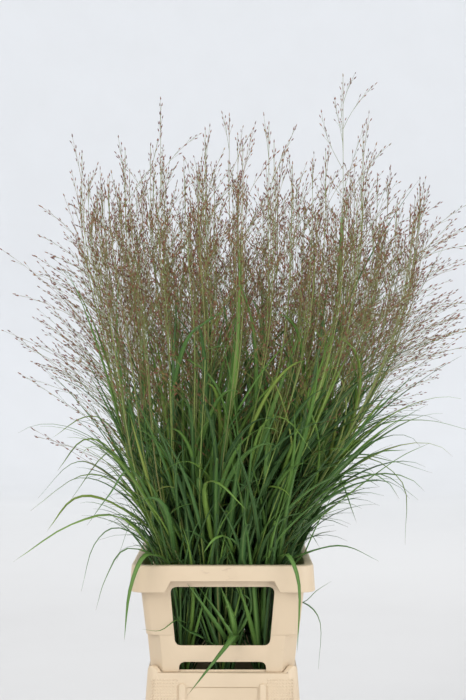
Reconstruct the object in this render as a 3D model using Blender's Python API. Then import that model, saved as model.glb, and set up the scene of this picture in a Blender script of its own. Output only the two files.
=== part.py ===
"""Cut switchgrass in flower, standing in a water bucket with a windowed collar on its rim.

Twelve bunches stand in the water, three across and four deep. Each is one solid: its stems
are held by an elastic tie near the foot and fan out above it into leaves and open panicles.
The bunches never cross, because each keeps to its own parcel of the clump.

Metres, +Z up, the front towards -Y. The origin is the middle of the bucket's underside.
"""

import math
import random

import bmesh
import bpy
from mathutils import Vector

# Bucket and collar. A half is half the width along X. Along Y everything is longer by the same amount.
LONGER_HALF = 0.050
BUCKET_TOP = 0.300
WALL = 0.004
BASE_HALF = 0.100
WAIST_HALF = 0.1135
INSIDE_HALF = 0.109
SKIRT_TOP_HALF = 0.1222
SKIRT_BOTTOM_HALF = 0.1268
SKIRT_BOTTOM = 0.238
SKIRT_WALL = 0.003
CORNER_BOSS = 0.010
COLLAR_HEIGHT = 0.1764
COLLAR_FOOT_HALF = 0.117
COLLAR_SLOPE = 0.114
COLLAR_STEP = 0.0618
POST_CHAMFER = 0.021
BAND_HALF = 0.150
BAND_DEPTH = 0.0425
BODY_CORNER = 0.013
CORNER_STEPS = 4
LEDGE_CORNER = 0.004
THROUGH = 0.3
FIT_GAP = 0.0003
RIM = BUCKET_TOP + COLLAR_HEIGHT
WATER_LEVEL = 0.115
FOOT_HOLE = 0.0120
BASE_CORNER = 0.030
LIP_HEIGHT = 0.003
RAIL_INSIDE, RAIL_OUTSIDE = 0.0600, 0.0705
RAIL_BOTTOM, RAIL_TOP = 0.2440, 0.2830
RAIL_CORNER = 0.0045
RAIL_SUNK, RAIL_PROUD = 0.002, 0.003

# Windows in the collar, as half widths and heights above the collar's foot.
WINDOW_TOP_HALF = 0.0846
WINDOW_BOTTOM_HALF = 0.0766
WINDOW_TOP = 0.1403
WINDOW_BOTTOM = 0.0440
WINDOW_CORNER = 0.011
NOTCH_HALF = 0.0706
NOTCH_TOP = 0.0168
ARCH_TOP_HALF = 0.083
ARCH_FOOT_HALF = 0.0922
ARCH_RISE = 0.0177
ARCH_RUN_OUT = 0.010

# Clump: how far it spreads from the middle at the foot, at the rim and at the top.
COLUMNS, ROWS = 3, 4
FOOT_SPREAD = (0.084, 0.132)
RIM_SPREAD = (0.116, 0.164)
TOP_SPREAD = (0.330, 0.345)
FAN_HEIGHT = 0.60
FAN_POWER = 1.7
LEAN = 0.054
LEAN_HEIGHT = 0.42
TIE_HEIGHT = 0.200
SPREAD_HEIGHT = 0.430
FOOT_Z = WALL + FIT_GAP
PARCEL_FILL = 0.78
CORNER_PULL = 0.25
STEM_BOW = 0.012
FREE_SHARE = 0.6
LEAF_CLEARANCE = 0.0085
BRANCH_CLEARANCE = 0.004
CRATE_CLEARANCE = 0.006
ABOVE_RIM = 0.012
BESIDE_BAND = 0.004
CORE_BOTTOM, CORE_TOP = 0.150, 0.250
CORE_RADIUS = 0.0066
CORE_SIDES = 6
PACK_RADIUS = 0.0030
STEM_RADIUS = 0.0024
RACHIS_RADIUS = 0.0013
TIP_RADIUS = 0.0006
CLUMP_TOP = 1.165
TOP_VARIES = 0.030
TOP_DOME = 0.085
TALL_CHANCE, TALL_EXTRA = 0.06, 0.075
TALLEST_STEM = (2, 1, 1)
TALLEST_TOP = 1.296
PANICLE_LENGTH = 0.37
SEED = 41
GOLDEN_TURN = math.radians(137.5)

# How many of each a bunch or a stem carries.
STEMS = 3
LEAVES = 4
BRANCHES = 5
CULM_STEPS = 4
LEAF_SHARES = (0.0, 0.1, 0.38, 0.7, 1.0)
WILD_SHARES = (0.0, 0.06, 0.2, 0.36, 0.52, 0.68, 0.84, 1.0)
ROUTE_STEPS = 16
LEAF_TRIES = 12
LEAF_WIDTH = 0.0115
LEAF_KEEL = 0.0013
LEAF_LENGTH = 0.40
SPIKELET_RADIUS = 0.0013
SPIKELET_LENGTH = 0.005
TIE_THICKNESS = 0.0011

# Long leaves that arch out of the clump, as the bunch's column and row, then points along the leaf.
WILD_LEAVES = (
    (0, 0, ((-0.085, -0.11, 0.452), (-0.155, -0.215, 0.553), (-0.235, -0.25, 0.548), (-0.324, -0.26, 0.492))),
    (0, 0, ((-0.07, -0.14, 0.47), (-0.09, -0.215, 0.572), (-0.13, -0.24, 0.58), (-0.165, -0.245, 0.491))),
    (0, 0, ((-0.1, -0.135, 0.462), (-0.127, -0.207, 0.495), (-0.146, -0.228, 0.442), (-0.154, -0.232, 0.363))),
    (0, 1, ((-0.1, -0.06, 0.49), (-0.175, -0.085, 0.592), (-0.24, -0.095, 0.612), (-0.325, -0.105, 0.553))),
    (0, 2, ((-0.11, 0.05, 0.56), (-0.2, 0.05, 0.688), (-0.25, 0.05, 0.706), (-0.308, 0.055, 0.67))),
    (0, 3, ((-0.09, 0.13, 0.5), (-0.16, 0.2, 0.62), (-0.23, 0.26, 0.63), (-0.31, 0.3, 0.53))),
    (1, 3, ((0.02, 0.12, 0.47), (0.03, 0.215, 0.56), (0.04, 0.3, 0.56), (0.045, 0.38, 0.44))),
    (2, 0, ((0.08, -0.12, 0.455), (0.1, -0.205, 0.496), (0.121, -0.225, 0.45), (0.118, -0.23, 0.345))),
    (2, 0, ((0.095, -0.13, 0.46), (0.15, -0.175, 0.497), (0.2, -0.182, 0.505), (0.252, -0.185, 0.482))),
    (2, 1, ((0.13, -0.06, 0.56), (0.24, -0.05, 0.682), (0.345, -0.03, 0.704), (0.445, -0.01, 0.682))),
    (2, 1, ((0.12, -0.05, 0.48), (0.21, -0.055, 0.567), (0.296, -0.06, 0.636), (0.353, -0.06, 0.665))),
    (2, 2, ((0.12, 0.02, 0.5), (0.23, 0.03, 0.632), (0.32, 0.035, 0.59), (0.325, 0.038, 0.479))),
    (2, 3, ((0.08, 0.12, 0.47), (0.15, 0.2, 0.57), (0.22, 0.29, 0.59), (0.27, 0.35, 0.48))),
)


# Small helpers


def mix(low, high, share):
    return low + (high - low) * share


def smooth(share):
    share = min(max(share, 0.0), 1.0)
    return share * share * (3.0 - 2.0 * share)


def part_of_one(value):
    return value - math.floor(value)


def material(name, colour, roughness):
    made = bpy.data.materials.new(name)
    made.use_nodes = True
    shader = made.node_tree.nodes["Principled BSDF"]
    shader.inputs["Base Color"].default_value = (*colour, 1.0)
    shader.inputs["Roughness"].default_value = roughness
    shader.inputs["Metallic"].default_value = 0.0
    return made


def add_object(name, points, faces, finish=None):
    mesh = bpy.data.meshes.new(name)
    mesh.from_pydata([tuple(p) for p in points], [], faces)
    shape = bmesh.new()
    shape.from_mesh(mesh)
    bmesh.ops.recalc_face_normals(shape, faces=shape.faces)
    shape.to_mesh(mesh)
    shape.free()
    made = bpy.data.objects.new(name, mesh)
    bpy.context.scene.collection.objects.link(made)
    if finish:
        mesh.materials.append(finish)
    return made


def boolean(target, cutter, operation="DIFFERENCE"):
    """Joins or cuts with a helper that stays in the scene as a wire guide."""
    step = target.modifiers.new(operation.title() + "_" + cutter.name, "BOOLEAN")
    step.operation = operation
    step.object = cutter
    step.solver = "EXACT"
    cutter.hide_render = True
    cutter.display_type = "WIRE"


# Bucket, water and collar


def ring(half, z, corner, chamfered=False, corner_rise=0.0):
    """A rectangle with round or chamfered corners, counter-clockwise from above."""
    flat_x, flat_y = half - corner, half + LONGER_HALF - corner
    points = []
    for quadrant in range(4):
        for step in range(CORNER_STEPS + 1):
            share = step / CORNER_STEPS
            angle = share * math.pi / 2
            first = 1.0 - share if chamfered else math.cos(angle)
            second = share if chamfered else math.sin(angle)
            if quadrant % 2:
                first, second = second, first
            x = flat_x + corner * first
            y = flat_y + corner * second
            sign_x = 1 if quadrant in (0, 3) else -1
            sign_y = 1 if quadrant in (0, 1) else -1
            points.append((sign_x * x, sign_y * y, z + corner_rise * math.sin(math.pi * share)))
    return points


def circle(radius, sides):
    turns = [2 * math.pi * i / sides for i in range(sides)]
    return [Vector((radius * math.cos(turn), radius * math.sin(turn), 0.0)) for turn in turns]


def loft(name, rings, finish, closed):
    """Skins a row of rings. A closed row runs back to its first ring, an open one is capped."""
    count = len(rings[0])
    points = [p for one in rings for p in one]
    spans = len(rings) if closed else len(rings) - 1
    faces = []
    for row in range(spans):
        start, after = row * count, (row + 1) % len(rings) * count
        for i in range(count):
            j = (i + 1) % count
            faces.append((start + i, start + j, after + j, after + i))
    if not closed:
        faces.append(tuple(range(count)))
        faces.append(tuple(range(len(points) - count, len(points))))
    return add_object(name, points, faces, finish)


def collar_half(above_foot):
    """The collar's outer half width at a height above its foot."""
    return COLLAR_FOOT_HALF + COLLAR_SLOPE * above_foot


def rounded_outline(corners, radius, steps=3):
    """A polygon with its corners rounded, as (across, height) pairs."""
    outline = []
    for i, corner in enumerate(corners):
        here = Vector(corner)
        before = (Vector(corners[i - 1]) - here).normalized()
        after = (Vector(corners[(i + 1) % len(corners)]) - here).normalized()
        reach = radius / math.tan(before.angle(after) / 2)
        start, end = here + before * reach, here + after * reach
        for step in range(steps + 1):
            share = step / steps
            outline.append(start.lerp(here, share).lerp(here.lerp(end, share), share))
    return outline


def prism(name, outline, near, far, along_y):
    """An outline in the upright plane, pushed through the collar from near to far."""
    points = []
    for depth in (near, far):
        for across, z in outline:
            points.append((across, depth, z) if along_y else (depth, across, z))
    count = len(outline)
    faces = [tuple(range(count)), tuple(range(count, 2 * count))]
    for i in range(count):
        j = (i + 1) % count
        faces.append((i, j, count + j, count + i))
    return add_object(name, points, faces)


def build_bucket(finish):
    skirt_corner = BODY_CORNER + SKIRT_TOP_HALF - COLLAR_FOOT_HALF
    boss_half = COLLAR_FOOT_HALF + 0.002
    lip_half = COLLAR_FOOT_HALF - WALL - 0.0005
    lip_top = BUCKET_TOP + LIP_HEIGHT
    rings = (
        ring(BASE_HALF, 0.0, BASE_CORNER),
        ring(WAIST_HALF, SKIRT_BOTTOM, skirt_corner),
        ring(WAIST_HALF, BUCKET_TOP - WALL, skirt_corner),
        ring(SKIRT_TOP_HALF - SKIRT_WALL, BUCKET_TOP - WALL, skirt_corner),
        ring(SKIRT_BOTTOM_HALF - SKIRT_WALL, SKIRT_BOTTOM, skirt_corner),
        ring(SKIRT_BOTTOM_HALF, SKIRT_BOTTOM, skirt_corner),
        ring(SKIRT_TOP_HALF, BUCKET_TOP - 0.001, skirt_corner, corner_rise=CORNER_BOSS),
        ring(SKIRT_TOP_HALF - 0.001, BUCKET_TOP, skirt_corner, corner_rise=CORNER_BOSS),
        ring(boss_half, BUCKET_TOP, POST_CHAMFER - 0.0005, True, CORNER_BOSS),
        ring(boss_half - 0.0005, BUCKET_TOP, POST_CHAMFER - 0.0005, True),
        ring(lip_half, BUCKET_TOP, POST_CHAMFER, True),
        ring(lip_half, lip_top, POST_CHAMFER, True),
        ring(INSIDE_HALF, lip_top, POST_CHAMFER - 0.002, True),
        ring(INSIDE_HALF, SKIRT_BOTTOM, POST_CHAMFER - 0.002),
        ring(BASE_HALF - WALL, WALL, BASE_CORNER - WALL),
    )
    bucket = loft("bucket", rings, finish, False)
    for side in (-1, 1):
        for end in (-1, 1):
            boolean(bucket, label_rail(side, end), "UNION")
    return bucket


def label_rail(side, end):
    """One of the two upright rails that hold a paper label on the bucket's front and back."""
    near, far = side * RAIL_INSIDE, side * RAIL_OUTSIDE
    corners = ((near, RAIL_BOTTOM), (far, RAIL_BOTTOM), (far, RAIL_TOP), (near, RAIL_TOP))
    outline = rounded_outline(corners, RAIL_CORNER, 2)
    slope = (SKIRT_BOTTOM_HALF - SKIRT_TOP_HALF) / (BUCKET_TOP - SKIRT_BOTTOM)
    count = len(outline)
    points = []
    for depth in (-RAIL_SUNK, RAIL_PROUD):
        for x, z in outline:
            face = SKIRT_TOP_HALF + LONGER_HALF + slope * (BUCKET_TOP - z)
            points.append((x, end * (face + depth), z))
    faces = [tuple(range(count)), tuple(range(count, 2 * count))]
    faces += [(i, (i + 1) % count, count + (i + 1) % count, count + i) for i in range(count)]
    return add_object(f"guide_rail_{side}_{end}", points, faces)


def build_water(finish):
    inset = WALL + FIT_GAP
    level_half = mix(BASE_HALF, WAIST_HALF, WATER_LEVEL / SKIRT_BOTTOM) - WALL - 0.0012
    rings = (
        ring(BASE_HALF - inset, WALL + FIT_GAP, BASE_CORNER - WALL),
        ring(level_half, WATER_LEVEL, BASE_CORNER - 2 * WALL),
    )
    water = loft("water", rings, finish, False)
    for column in range(COLUMNS):
        for row in range(ROWS):
            ends = [parcel_middle(column, row, z) for z in (-0.010, WATER_LEVEL + 0.010)]
            rings = [[middle + corner for corner in circle(FOOT_HOLE, 6)] for middle in ends]
            boolean(water, loft(f"guide_hole_{column}_{row}", rings, None, False))
    return water


def collar_rings():
    """The collar's wall in rings: up its outside, round its thick rim band and down its inside."""
    foot = BUCKET_TOP + FIT_GAP
    step = BUCKET_TOP + COLLAR_STEP
    band_bottom = RIM - BAND_DEPTH
    under_plate = RIM - 0.005

    def outside(z):
        return collar_half(z - BUCKET_TOP)

    band_corner = BODY_CORNER + BAND_HALF - outside(RIM)
    return (
        ring(outside(foot), foot, POST_CHAMFER, True),
        ring(outside(step) - 0.0010, step - 0.001, POST_CHAMFER, True),
        ring(outside(step), step, BODY_CORNER),
        ring(outside(under_plate), under_plate, BODY_CORNER),
        ring(BAND_HALF - 0.0070, under_plate, band_corner - LEDGE_CORNER),
        ring(BAND_HALF - 0.0040, band_bottom, band_corner - LEDGE_CORNER),
        ring(BAND_HALF, band_bottom, band_corner),
        ring(BAND_HALF - 0.0028, RIM - 0.003, band_corner),
        ring(BAND_HALF - 0.0045, RIM - 0.0006, band_corner),
        ring(BAND_HALF - 0.0070, RIM, band_corner),
        ring(outside(RIM) - 0.0022, RIM, BODY_CORNER),
        ring(outside(RIM) - WALL, RIM - 0.0015, BODY_CORNER),
        ring(outside(step) - WALL, step + 0.002, BODY_CORNER),
        ring(outside(step) - WALL, step, POST_CHAMFER, True),
        ring(outside(foot) - WALL, foot, POST_CHAMFER, True),
    )


def window_outline(longer):
    """The large window of one side, wider at its top."""
    corners = (
        (-WINDOW_BOTTOM_HALF - longer, BUCKET_TOP + WINDOW_BOTTOM),
        (WINDOW_BOTTOM_HALF + longer, BUCKET_TOP + WINDOW_BOTTOM),
        (WINDOW_TOP_HALF + longer, BUCKET_TOP + WINDOW_TOP),
        (-WINDOW_TOP_HALF - longer, BUCKET_TOP + WINDOW_TOP),
    )
    return rounded_outline(corners, WINDOW_CORNER)


def notch_outline(longer):
    """The low gap at the collar's foot. It runs down past the foot, so that its cut is open."""
    across = NOTCH_HALF + longer
    top, below = BUCKET_TOP + NOTCH_TOP, BUCKET_TOP - 0.03
    return rounded_outline(((-across, below), (across, below), (across, top), (-across, top)), WINDOW_CORNER)


def arch_outline(longer):
    """The shallow arch in the rim band, run out below the band at the slope of its sides."""
    top_half, foot_half = ARCH_TOP_HALF + longer, ARCH_FOOT_HALF + longer
    band_bottom = RIM - BAND_DEPTH
    low_half = foot_half + (foot_half - top_half) * ARCH_RUN_OUT / ARCH_RISE
    low, high = band_bottom - ARCH_RUN_OUT, band_bottom + ARCH_RISE
    return ((-low_half, low), (low_half, low), (top_half, high), (-top_half, high))


def build_collar(finish):
    collar = loft("collar", collar_rings(), finish, True)
    for along_y in (True, False):
        longer, deeper = (0.0, LONGER_HALF) if along_y else (LONGER_HALF, 0.0)
        side = "front_back" if along_y else "left_right"
        for shape, outline in (("window", window_outline(longer)), ("notch", notch_outline(longer))):
            boolean(collar, prism(f"guide_{shape}_{side}", outline, -THROUGH, THROUGH, along_y))
        near = collar_half(COLLAR_HEIGHT - BAND_DEPTH + ARCH_RISE) + 0.005 + deeper
        far = BAND_HALF + 0.020 + deeper
        for end in (-1, 1):
            name = f"guide_arch_{side}_{end}"
            boolean(collar, prism(name, arch_outline(longer), end * near, end * far, along_y))
    return collar


# Layout of the clump


def spread(z):
    """Half widths of the clump along X and Y at height z."""
    if z < RIM:
        return tuple(mix(FOOT_SPREAD[i], RIM_SPREAD[i], z / RIM) for i in (0, 1))
    share = min((z - RIM) / FAN_HEIGHT, 1.0)
    grown = 1.0 - (1.0 - share) ** FAN_POWER
    return tuple(mix(RIM_SPREAD[i], TOP_SPREAD[i], grown) for i in (0, 1))


def lean(z):
    """How far the whole clump leans to the right at height z."""
    return LEAN * smooth((z - RIM) / LEAN_HEIGHT)


def parcel(column, row):
    """A bunch's parcel of the clump, as its middle and half size in shares of the spread."""
    middle = ((2 * column + 1) / COLUMNS - 1, (2 * row + 1) / ROWS - 1)
    return middle, (1 / COLUMNS, 1 / ROWS)


def parcel_middle(column, row, z):
    middle, _ = parcel(column, row)
    wide, deep = spread(z)
    return Vector((middle[0] * wide + lean(z), middle[1] * deep, z))


def soft_limit(share):
    """Leaves a share alone in the middle of its range and presses it below 1 near the edge."""
    size = abs(share)
    if size > FREE_SHARE:
        pressed = 1 - FREE_SHARE
        size = FREE_SHARE + pressed * math.tanh((size - FREE_SHARE) / pressed)
    return math.copysign(size, share)


def keep_in_parcel(point, column, row, clearance):
    """Bends a point clear of the neighbouring bunches and, below the rim, of the collar."""
    middle, half = parcel(column, row)
    kept = [point.x - lean(point.z), point.y]
    last = (COLUMNS - 1, ROWS - 1)
    for axis, place in enumerate((column, row)):
        reach = spread(point.z)[axis]
        room = half[axis] * reach - clearance
        offset = kept[axis] - middle[axis] * reach
        outward = (place == last[axis] and offset > 0) or (place == 0 and offset < 0)
        if outward and not is_inside_crate(point):
            continue
        kept[axis] = middle[axis] * reach + room * soft_limit(offset / room)
    return Vector((kept[0] + lean(point.z), kept[1], point.z))


def is_inside_crate(point):
    """Below the rim, and not beyond the collar's outer faces."""
    beyond = BAND_HALF + BESIDE_BAND
    outside = abs(point.x) > beyond or abs(point.y) > beyond + LONGER_HALF
    return point.z < RIM + ABOVE_RIM and not outside


def touches_crate(point):
    """True where a point below the rim lies in or near the collar's walls."""
    if not is_inside_crate(point):
        return False
    inner = collar_half(max(point.z - BUCKET_TOP, 0.0)) - WALL - CRATE_CLEARANCE
    return abs(point.x) > inner or abs(point.y) > inner + LONGER_HALF


# Stems, leaves and panicles


class Stem:
    """One culm: where it stands in its bunch and the height that it reaches."""

    def __init__(self, column, row, number):
        self.column, self.row, self.number = column, row, number
        self.seed = SEED + 100_000 * (column * ROWS + row) + 1000 * number
        draw = random.Random(self.seed)
        middle, half = parcel(column, row)
        across = part_of_one(0.31 + 0.7549 * number) * 2 - 1
        along = part_of_one(0.17 + 0.5698 * number) * 2 - 1
        target = [middle[0] + PARCEL_FILL * half[0] * across, middle[1] + PARCEL_FILL * half[1] * along]
        self.offset = (
            target[0] * math.sqrt(1 - CORNER_PULL * target[1] ** 2) - middle[0],
            target[1] * math.sqrt(1 - CORNER_PULL * target[0] ** 2) - middle[1],
        )
        self.rim_distance = math.hypot(*target)
        turn = GOLDEN_TURN * number
        self.pack = (math.cos(turn), math.sin(turn))
        self.sway = (draw.uniform(-1, 1), draw.uniform(-1, 1))
        tall = TALL_EXTRA if draw.random() < TALL_CHANCE else 0.0
        self.top = CLUMP_TOP + draw.gauss(0, TOP_VARIES) + tall - TOP_DOME * self.rim_distance**2
        if (column, row, number) == TALLEST_STEM:
            self.top = TALLEST_TOP
        self.panicle = self.top - PANICLE_LENGTH * draw.uniform(0.88, 1.1)
        above_tie = TIE_HEIGHT + 0.04
        self.heights = [FOOT_Z, TIE_HEIGHT - 0.04, above_tie]
        self.heights += [mix(above_tie, self.panicle, (i + 1) / CULM_STEPS) for i in range(CULM_STEPS)]
        self.heights += [mix(self.panicle, self.top, 0.5), self.top]

    def on_culm(self, z):
        """A point on the straight-sided culm itself, where a leaf or a branch takes root."""
        for low, high in zip(self.heights, self.heights[1:]):
            if z <= high:
                return self.at(low).lerp(self.at(high), (z - low) / (high - low))
        return self.at(self.top)

    def at(self, z):
        """The stem's centre at height z."""
        middle = parcel_middle(self.column, self.row, z)
        wide, deep = spread(z)
        opened = smooth((z - TIE_HEIGHT - 0.03) / (SPREAD_HEIGHT - TIE_HEIGHT))
        bowed = STEM_BOW * smooth((z - RIM) / FAN_HEIGHT)
        packed = PACK_RADIUS * (1 - opened) * (1 + 0.7 * smooth((TIE_HEIGHT - 0.04 - z) / TIE_HEIGHT))
        middle.x += self.offset[0] * opened * wide + self.pack[0] * packed + self.sway[0] * bowed
        middle.y += self.offset[1] * opened * deep + self.pack[1] * packed + self.sway[1] * bowed
        return middle

    def direction(self, z):
        return (self.at(z + 0.005) - self.at(z - 0.005)).normalized()


def side_ways(direction):
    """Two unit vectors square to a direction."""
    first = direction.cross(Vector((0.0, 1.0, 0.0)))
    if first.length < 0.1:
        first = direction.cross(Vector((1.0, 0.0, 0.0)))
    first.normalize()
    return first, direction.cross(first).normalized()


def tube(path, radii, sides=3, turn=0.0):
    """A rod of few sides along a path. A last radius of zero ends it in a point."""
    points, faces = [], []
    pointed = radii[-1] == 0.0
    for i, here in enumerate(path):
        ahead = path[min(i + 1, len(path) - 1)] - path[max(i - 1, 0)]
        first, second = side_ways(ahead.normalized())
        if pointed and i == len(path) - 1:
            points.append(here)
            break
        for k in range(sides):
            angle = turn + 2 * math.pi * k / sides
            points.append(here + (first * math.cos(angle) + second * math.sin(angle)) * radii[i])
    for i in range(len(path) - 1):
        base = i * sides
        for k in range(sides):
            after = (k + 1) % sides
            if pointed and i == len(path) - 2:
                faces.append((base + k, base + after, base + sides))
            else:
                faces.append((base + k, base + after, base + sides + after))
                faces.append((base + k, base + sides + after, base + sides + k))
    faces.append(tuple(range(sides)))
    if not pointed:
        faces.append(tuple(range(len(points) - sides, len(points))))
    return points, faces


def blade(route, shares, across):
    """A leaf blade with a thick midrib, narrow where it leaves the stem and at its tip."""
    points, faces = [], []
    path = at_shares(route, shares)
    steps = len(path) - 1
    for i, here in enumerate(path):
        ahead = (path[min(i + 1, steps)] - path[max(i - 1, 0)]).normalized()
        flat = (across - ahead * across.dot(ahead)).normalized()
        if i == steps:
            points.append(here)
            break
        wide = LEAF_WIDTH / 2 * leaf_shape(shares[i])
        keel = LEAF_KEEL * min(1.0, 0.6 + leaf_shape(shares[i]))
        points += [here - flat * wide, here + flat.cross(ahead) * keel, here + flat * wide]
    for i in range(steps):
        base = i * 3
        for k in range(3):
            after = (k + 1) % 3
            if i == steps - 1:
                faces.append((base + k, base + after, base + 3))
            else:
                faces.append((base + k, base + after, base + 3 + after))
                faces.append((base + k, base + 3 + after, base + 3 + k))
    faces.append((0, 1, 2))
    return points, faces


def leaf_shape(share):
    """A leaf's width along its length, as a share of its widest."""
    return smooth(0.24 + 7.6 * share) * (1 - share) ** 0.55


def at_shares(route, shares):
    """Points of a route at shares of its way."""
    found = []
    for share in shares:
        at = share * (len(route) - 1)
        k = min(int(at), len(route) - 2)
        found.append(route[k].lerp(route[k + 1], at - k))
    return found


def leaf_path(stem, number, steps):
    """The midrib of one of a stem's leaves, and the way that its blade lies across."""
    draw = random.Random(stem.seed + 100 + number)
    share = (number + draw.uniform(0.1, 0.9)) / LEAVES
    node_z = mix(0.27, stem.panicle - 0.06, share)
    length = LEAF_LENGTH * draw.uniform(0.8, 1.2) * mix(1.0, 0.72, share)
    outward = math.atan2(stem.at(0.9).y, stem.at(0.9).x)
    edge = smooth((stem.rim_distance - 0.45) / 0.4)
    heading = outward + math.pi * ((number + stem.number) % 2) + draw.gauss(0, 0.45)
    arching = draw.random() < 0.45 * edge and node_z > RIM - 0.05
    for attempt in range(LEAF_TRIES):
        ease = 1 - attempt / LEAF_TRIES
        opening = math.radians(draw.uniform(18, 30) if arching else draw.uniform(5, 13)) * ease
        droop = math.radians(draw.uniform(60, 115) if arching else draw.uniform(8, 40)) * ease
        start = stem.on_culm(node_z)
        level = Vector((math.cos(heading), math.sin(heading), 0.0))
        path, here = [start], start.copy()
        for i in range(steps):
            along = (i + 0.5) / steps
            angle = opening + droop * along**1.8
            way = stem.direction(node_z) * math.cos(angle) + level * math.sin(angle)
            here = here + way.normalized() * length / steps
            path.append(here)
        path = [keep_in_parcel(p, stem.column, stem.row, LEAF_CLEARANCE) for p in path]
        path[0] = start
        if not any(touches_crate(p) for p in in_between(path)):
            break
    return path, level.cross(Vector((0.0, 0.0, 1.0))).normalized()


def in_between(path):
    """The points of a path with three more on each stretch."""
    return [a.lerp(b, k / 4) for a, b in zip(path, path[1:]) for k in range(1, 5)]


def through(points, steps):
    """A smooth curve through a few points, for a leaf that is placed by hand."""
    knots = [Vector(p) for p in points]
    knots = [knots[0] * 2 - knots[1], *knots, knots[-1] * 2 - knots[-2]]
    path = []
    for i in range(steps + 1):
        at = i / steps * (len(points) - 1)
        k = min(int(at), len(points) - 2)
        t = at - k
        a, b, c, d = knots[k : k + 4]
        path.append(
            0.5 * (2 * b + (c - a) * t + (2 * a - 5 * b + 4 * c - d) * t**2 + (3 * b - a - 3 * c + d) * t**3)
        )
    return path


def wild_leaf(stem, points, steps):
    """One of the long arching leaves, rooted on a stem of its bunch."""
    path = through(points, steps)
    root = stem.on_culm(path[0].z)
    path = [p + (root - path[0]) * (1 - i / steps) ** 3 for i, p in enumerate(path)]
    path = [root, *(keep_in_parcel(p, stem.column, stem.row, LEAF_CLEARANCE) for p in path[1:])]
    level = Vector((path[-1].x - root.x, path[-1].y - root.y, 0.0)).normalized()
    return path, level.cross(Vector((0.0, 0.0, 1.0)))


def branch_path(stem, number, steps):
    """The route of one panicle branch, and its length."""
    draw = random.Random(stem.seed + 500 + number)
    share = part_of_one(0.1 + 0.618 * number) * 0.9
    heading = 2 * math.pi * part_of_one(0.7549 * number) + draw.uniform(-0.4, 0.4)
    length = mix(0.190, 0.055, share) * draw.uniform(0.8, 1.15)
    opening = math.radians(draw.uniform(20, 38))
    spread_out = math.radians(draw.uniform(5, 32))
    z = mix(stem.panicle, stem.top, share)
    way_up = stem.direction(z)
    first, second = side_ways(way_up)
    level = first * math.cos(heading) + second * math.sin(heading)
    here = stem.on_culm(z)
    path = [here.copy()]
    for i in range(steps):
        angle = opening + spread_out * (i + 0.5) / steps
        here = here + (way_up * math.cos(angle) + level * math.sin(angle)) * length / steps
        path.append(here)
    kept = [keep_in_parcel(p, stem.column, stem.row, BRANCH_CLEARANCE) for p in path]
    kept[0] = path[0]
    return kept, length


def spikelet_branch(stem, number):
    """A branch with a spikelet at its tip."""
    route, length = branch_path(stem, number, ROUTE_STEPS)
    half = SPIKELET_LENGTH / 2 / length
    shares = (0.0, 1 - 2 * half, 1 - half, 1.0)
    radii = (0.7 * TIP_RADIUS, TIP_RADIUS, SPIKELET_RADIUS, 0.0)
    return tube(at_shares(route, shares), radii, turn=number)


def stem_pieces(stem):
    """Everything that grows on one stem, each as its own closed shape."""
    thinning = [smooth((z - BUCKET_TOP) / (stem.top - BUCKET_TOP)) for z in stem.heights]
    radii = [mix(STEM_RADIUS, RACHIS_RADIUS, share) for share in thinning]
    radii[-2:] = [0.8 * RACHIS_RADIUS, 0.0]
    pieces = [tube([stem.at(z) for z in stem.heights], radii, turn=stem.number)]
    for number in range(LEAVES):
        route, across = leaf_path(stem, number, ROUTE_STEPS)
        pieces.append(blade(route, LEAF_SHARES, across))
    for number in range(BRANCHES):
        pieces.append(spikelet_branch(stem, number))
    return pieces


def join(name, core, pieces, finish):
    """Fuses a bunch into one solid: one union of its core with a collection of the rest."""
    target = add_object(name, *core, finish)
    group = bpy.data.collections.new(name + "_pieces")
    for i, (points, faces) in enumerate(pieces):
        piece = add_object(f"{name}_piece_{i}", points, faces)
        bpy.context.scene.collection.objects.unlink(piece)
        group.objects.link(piece)
    step = target.modifiers.new("Union", "BOOLEAN")
    step.operation = "UNION"
    step.operand_type = "COLLECTION"
    step.collection = group
    step.solver = "MANIFOLD"
    bpy.context.view_layer.update()
    graph = bpy.context.evaluated_depsgraph_get()
    fused = bpy.data.meshes.new_from_object(target.evaluated_get(graph))
    target.modifiers.clear()
    target.data = fused
    for piece in list(group.objects):
        bpy.data.objects.remove(piece)
    bpy.data.collections.remove(group)
    return target


def build_bunch(column, row, finish):
    """One tied bunch of stems, with its leaves and panicles."""
    stems = [Stem(column, row, number) for number in range(STEMS)]
    core_ends = [parcel_middle(column, row, z) for z in (CORE_BOTTOM, CORE_TOP)]
    core = tube(core_ends, [CORE_RADIUS] * 2, CORE_SIDES)
    pieces = [piece for stem in stems for piece in stem_pieces(stem)]
    for home_column, home_row, points in WILD_LEAVES:
        if (home_column, home_row) == (column, row):
            nearest = min(stems, key=lambda s: (s.at(points[0][2]) - Vector(points[0])).length)
            route, across = wild_leaf(nearest, points, 2 * ROUTE_STEPS)
            pieces.append(blade(route, WILD_SHARES, across))
    return join(f"bunch_{column + 1}_{row + 1}", core, pieces, finish)


def build_tie(column, row, finish):
    """The elastic tie round a bunch's stems. Its inside follows the faces of the bunch's core."""
    middle = parcel_middle(column, row, TIE_HEIGHT)
    inside = CORE_RADIUS + FIT_GAP / math.cos(math.pi / CORE_SIDES)
    profile = ((0, -2 * TIE_THICKNESS), (TIE_THICKNESS, 0), (0, 2 * TIE_THICKNESS))
    rings = []
    for out, up in profile:
        level = middle + Vector((0.0, 0.0, up))
        rings.append([level + corner for corner in circle(inside + out, CORE_SIDES)])
    return loft(f"tie_{column + 1}_{row + 1}", rings, finish, True)


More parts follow.
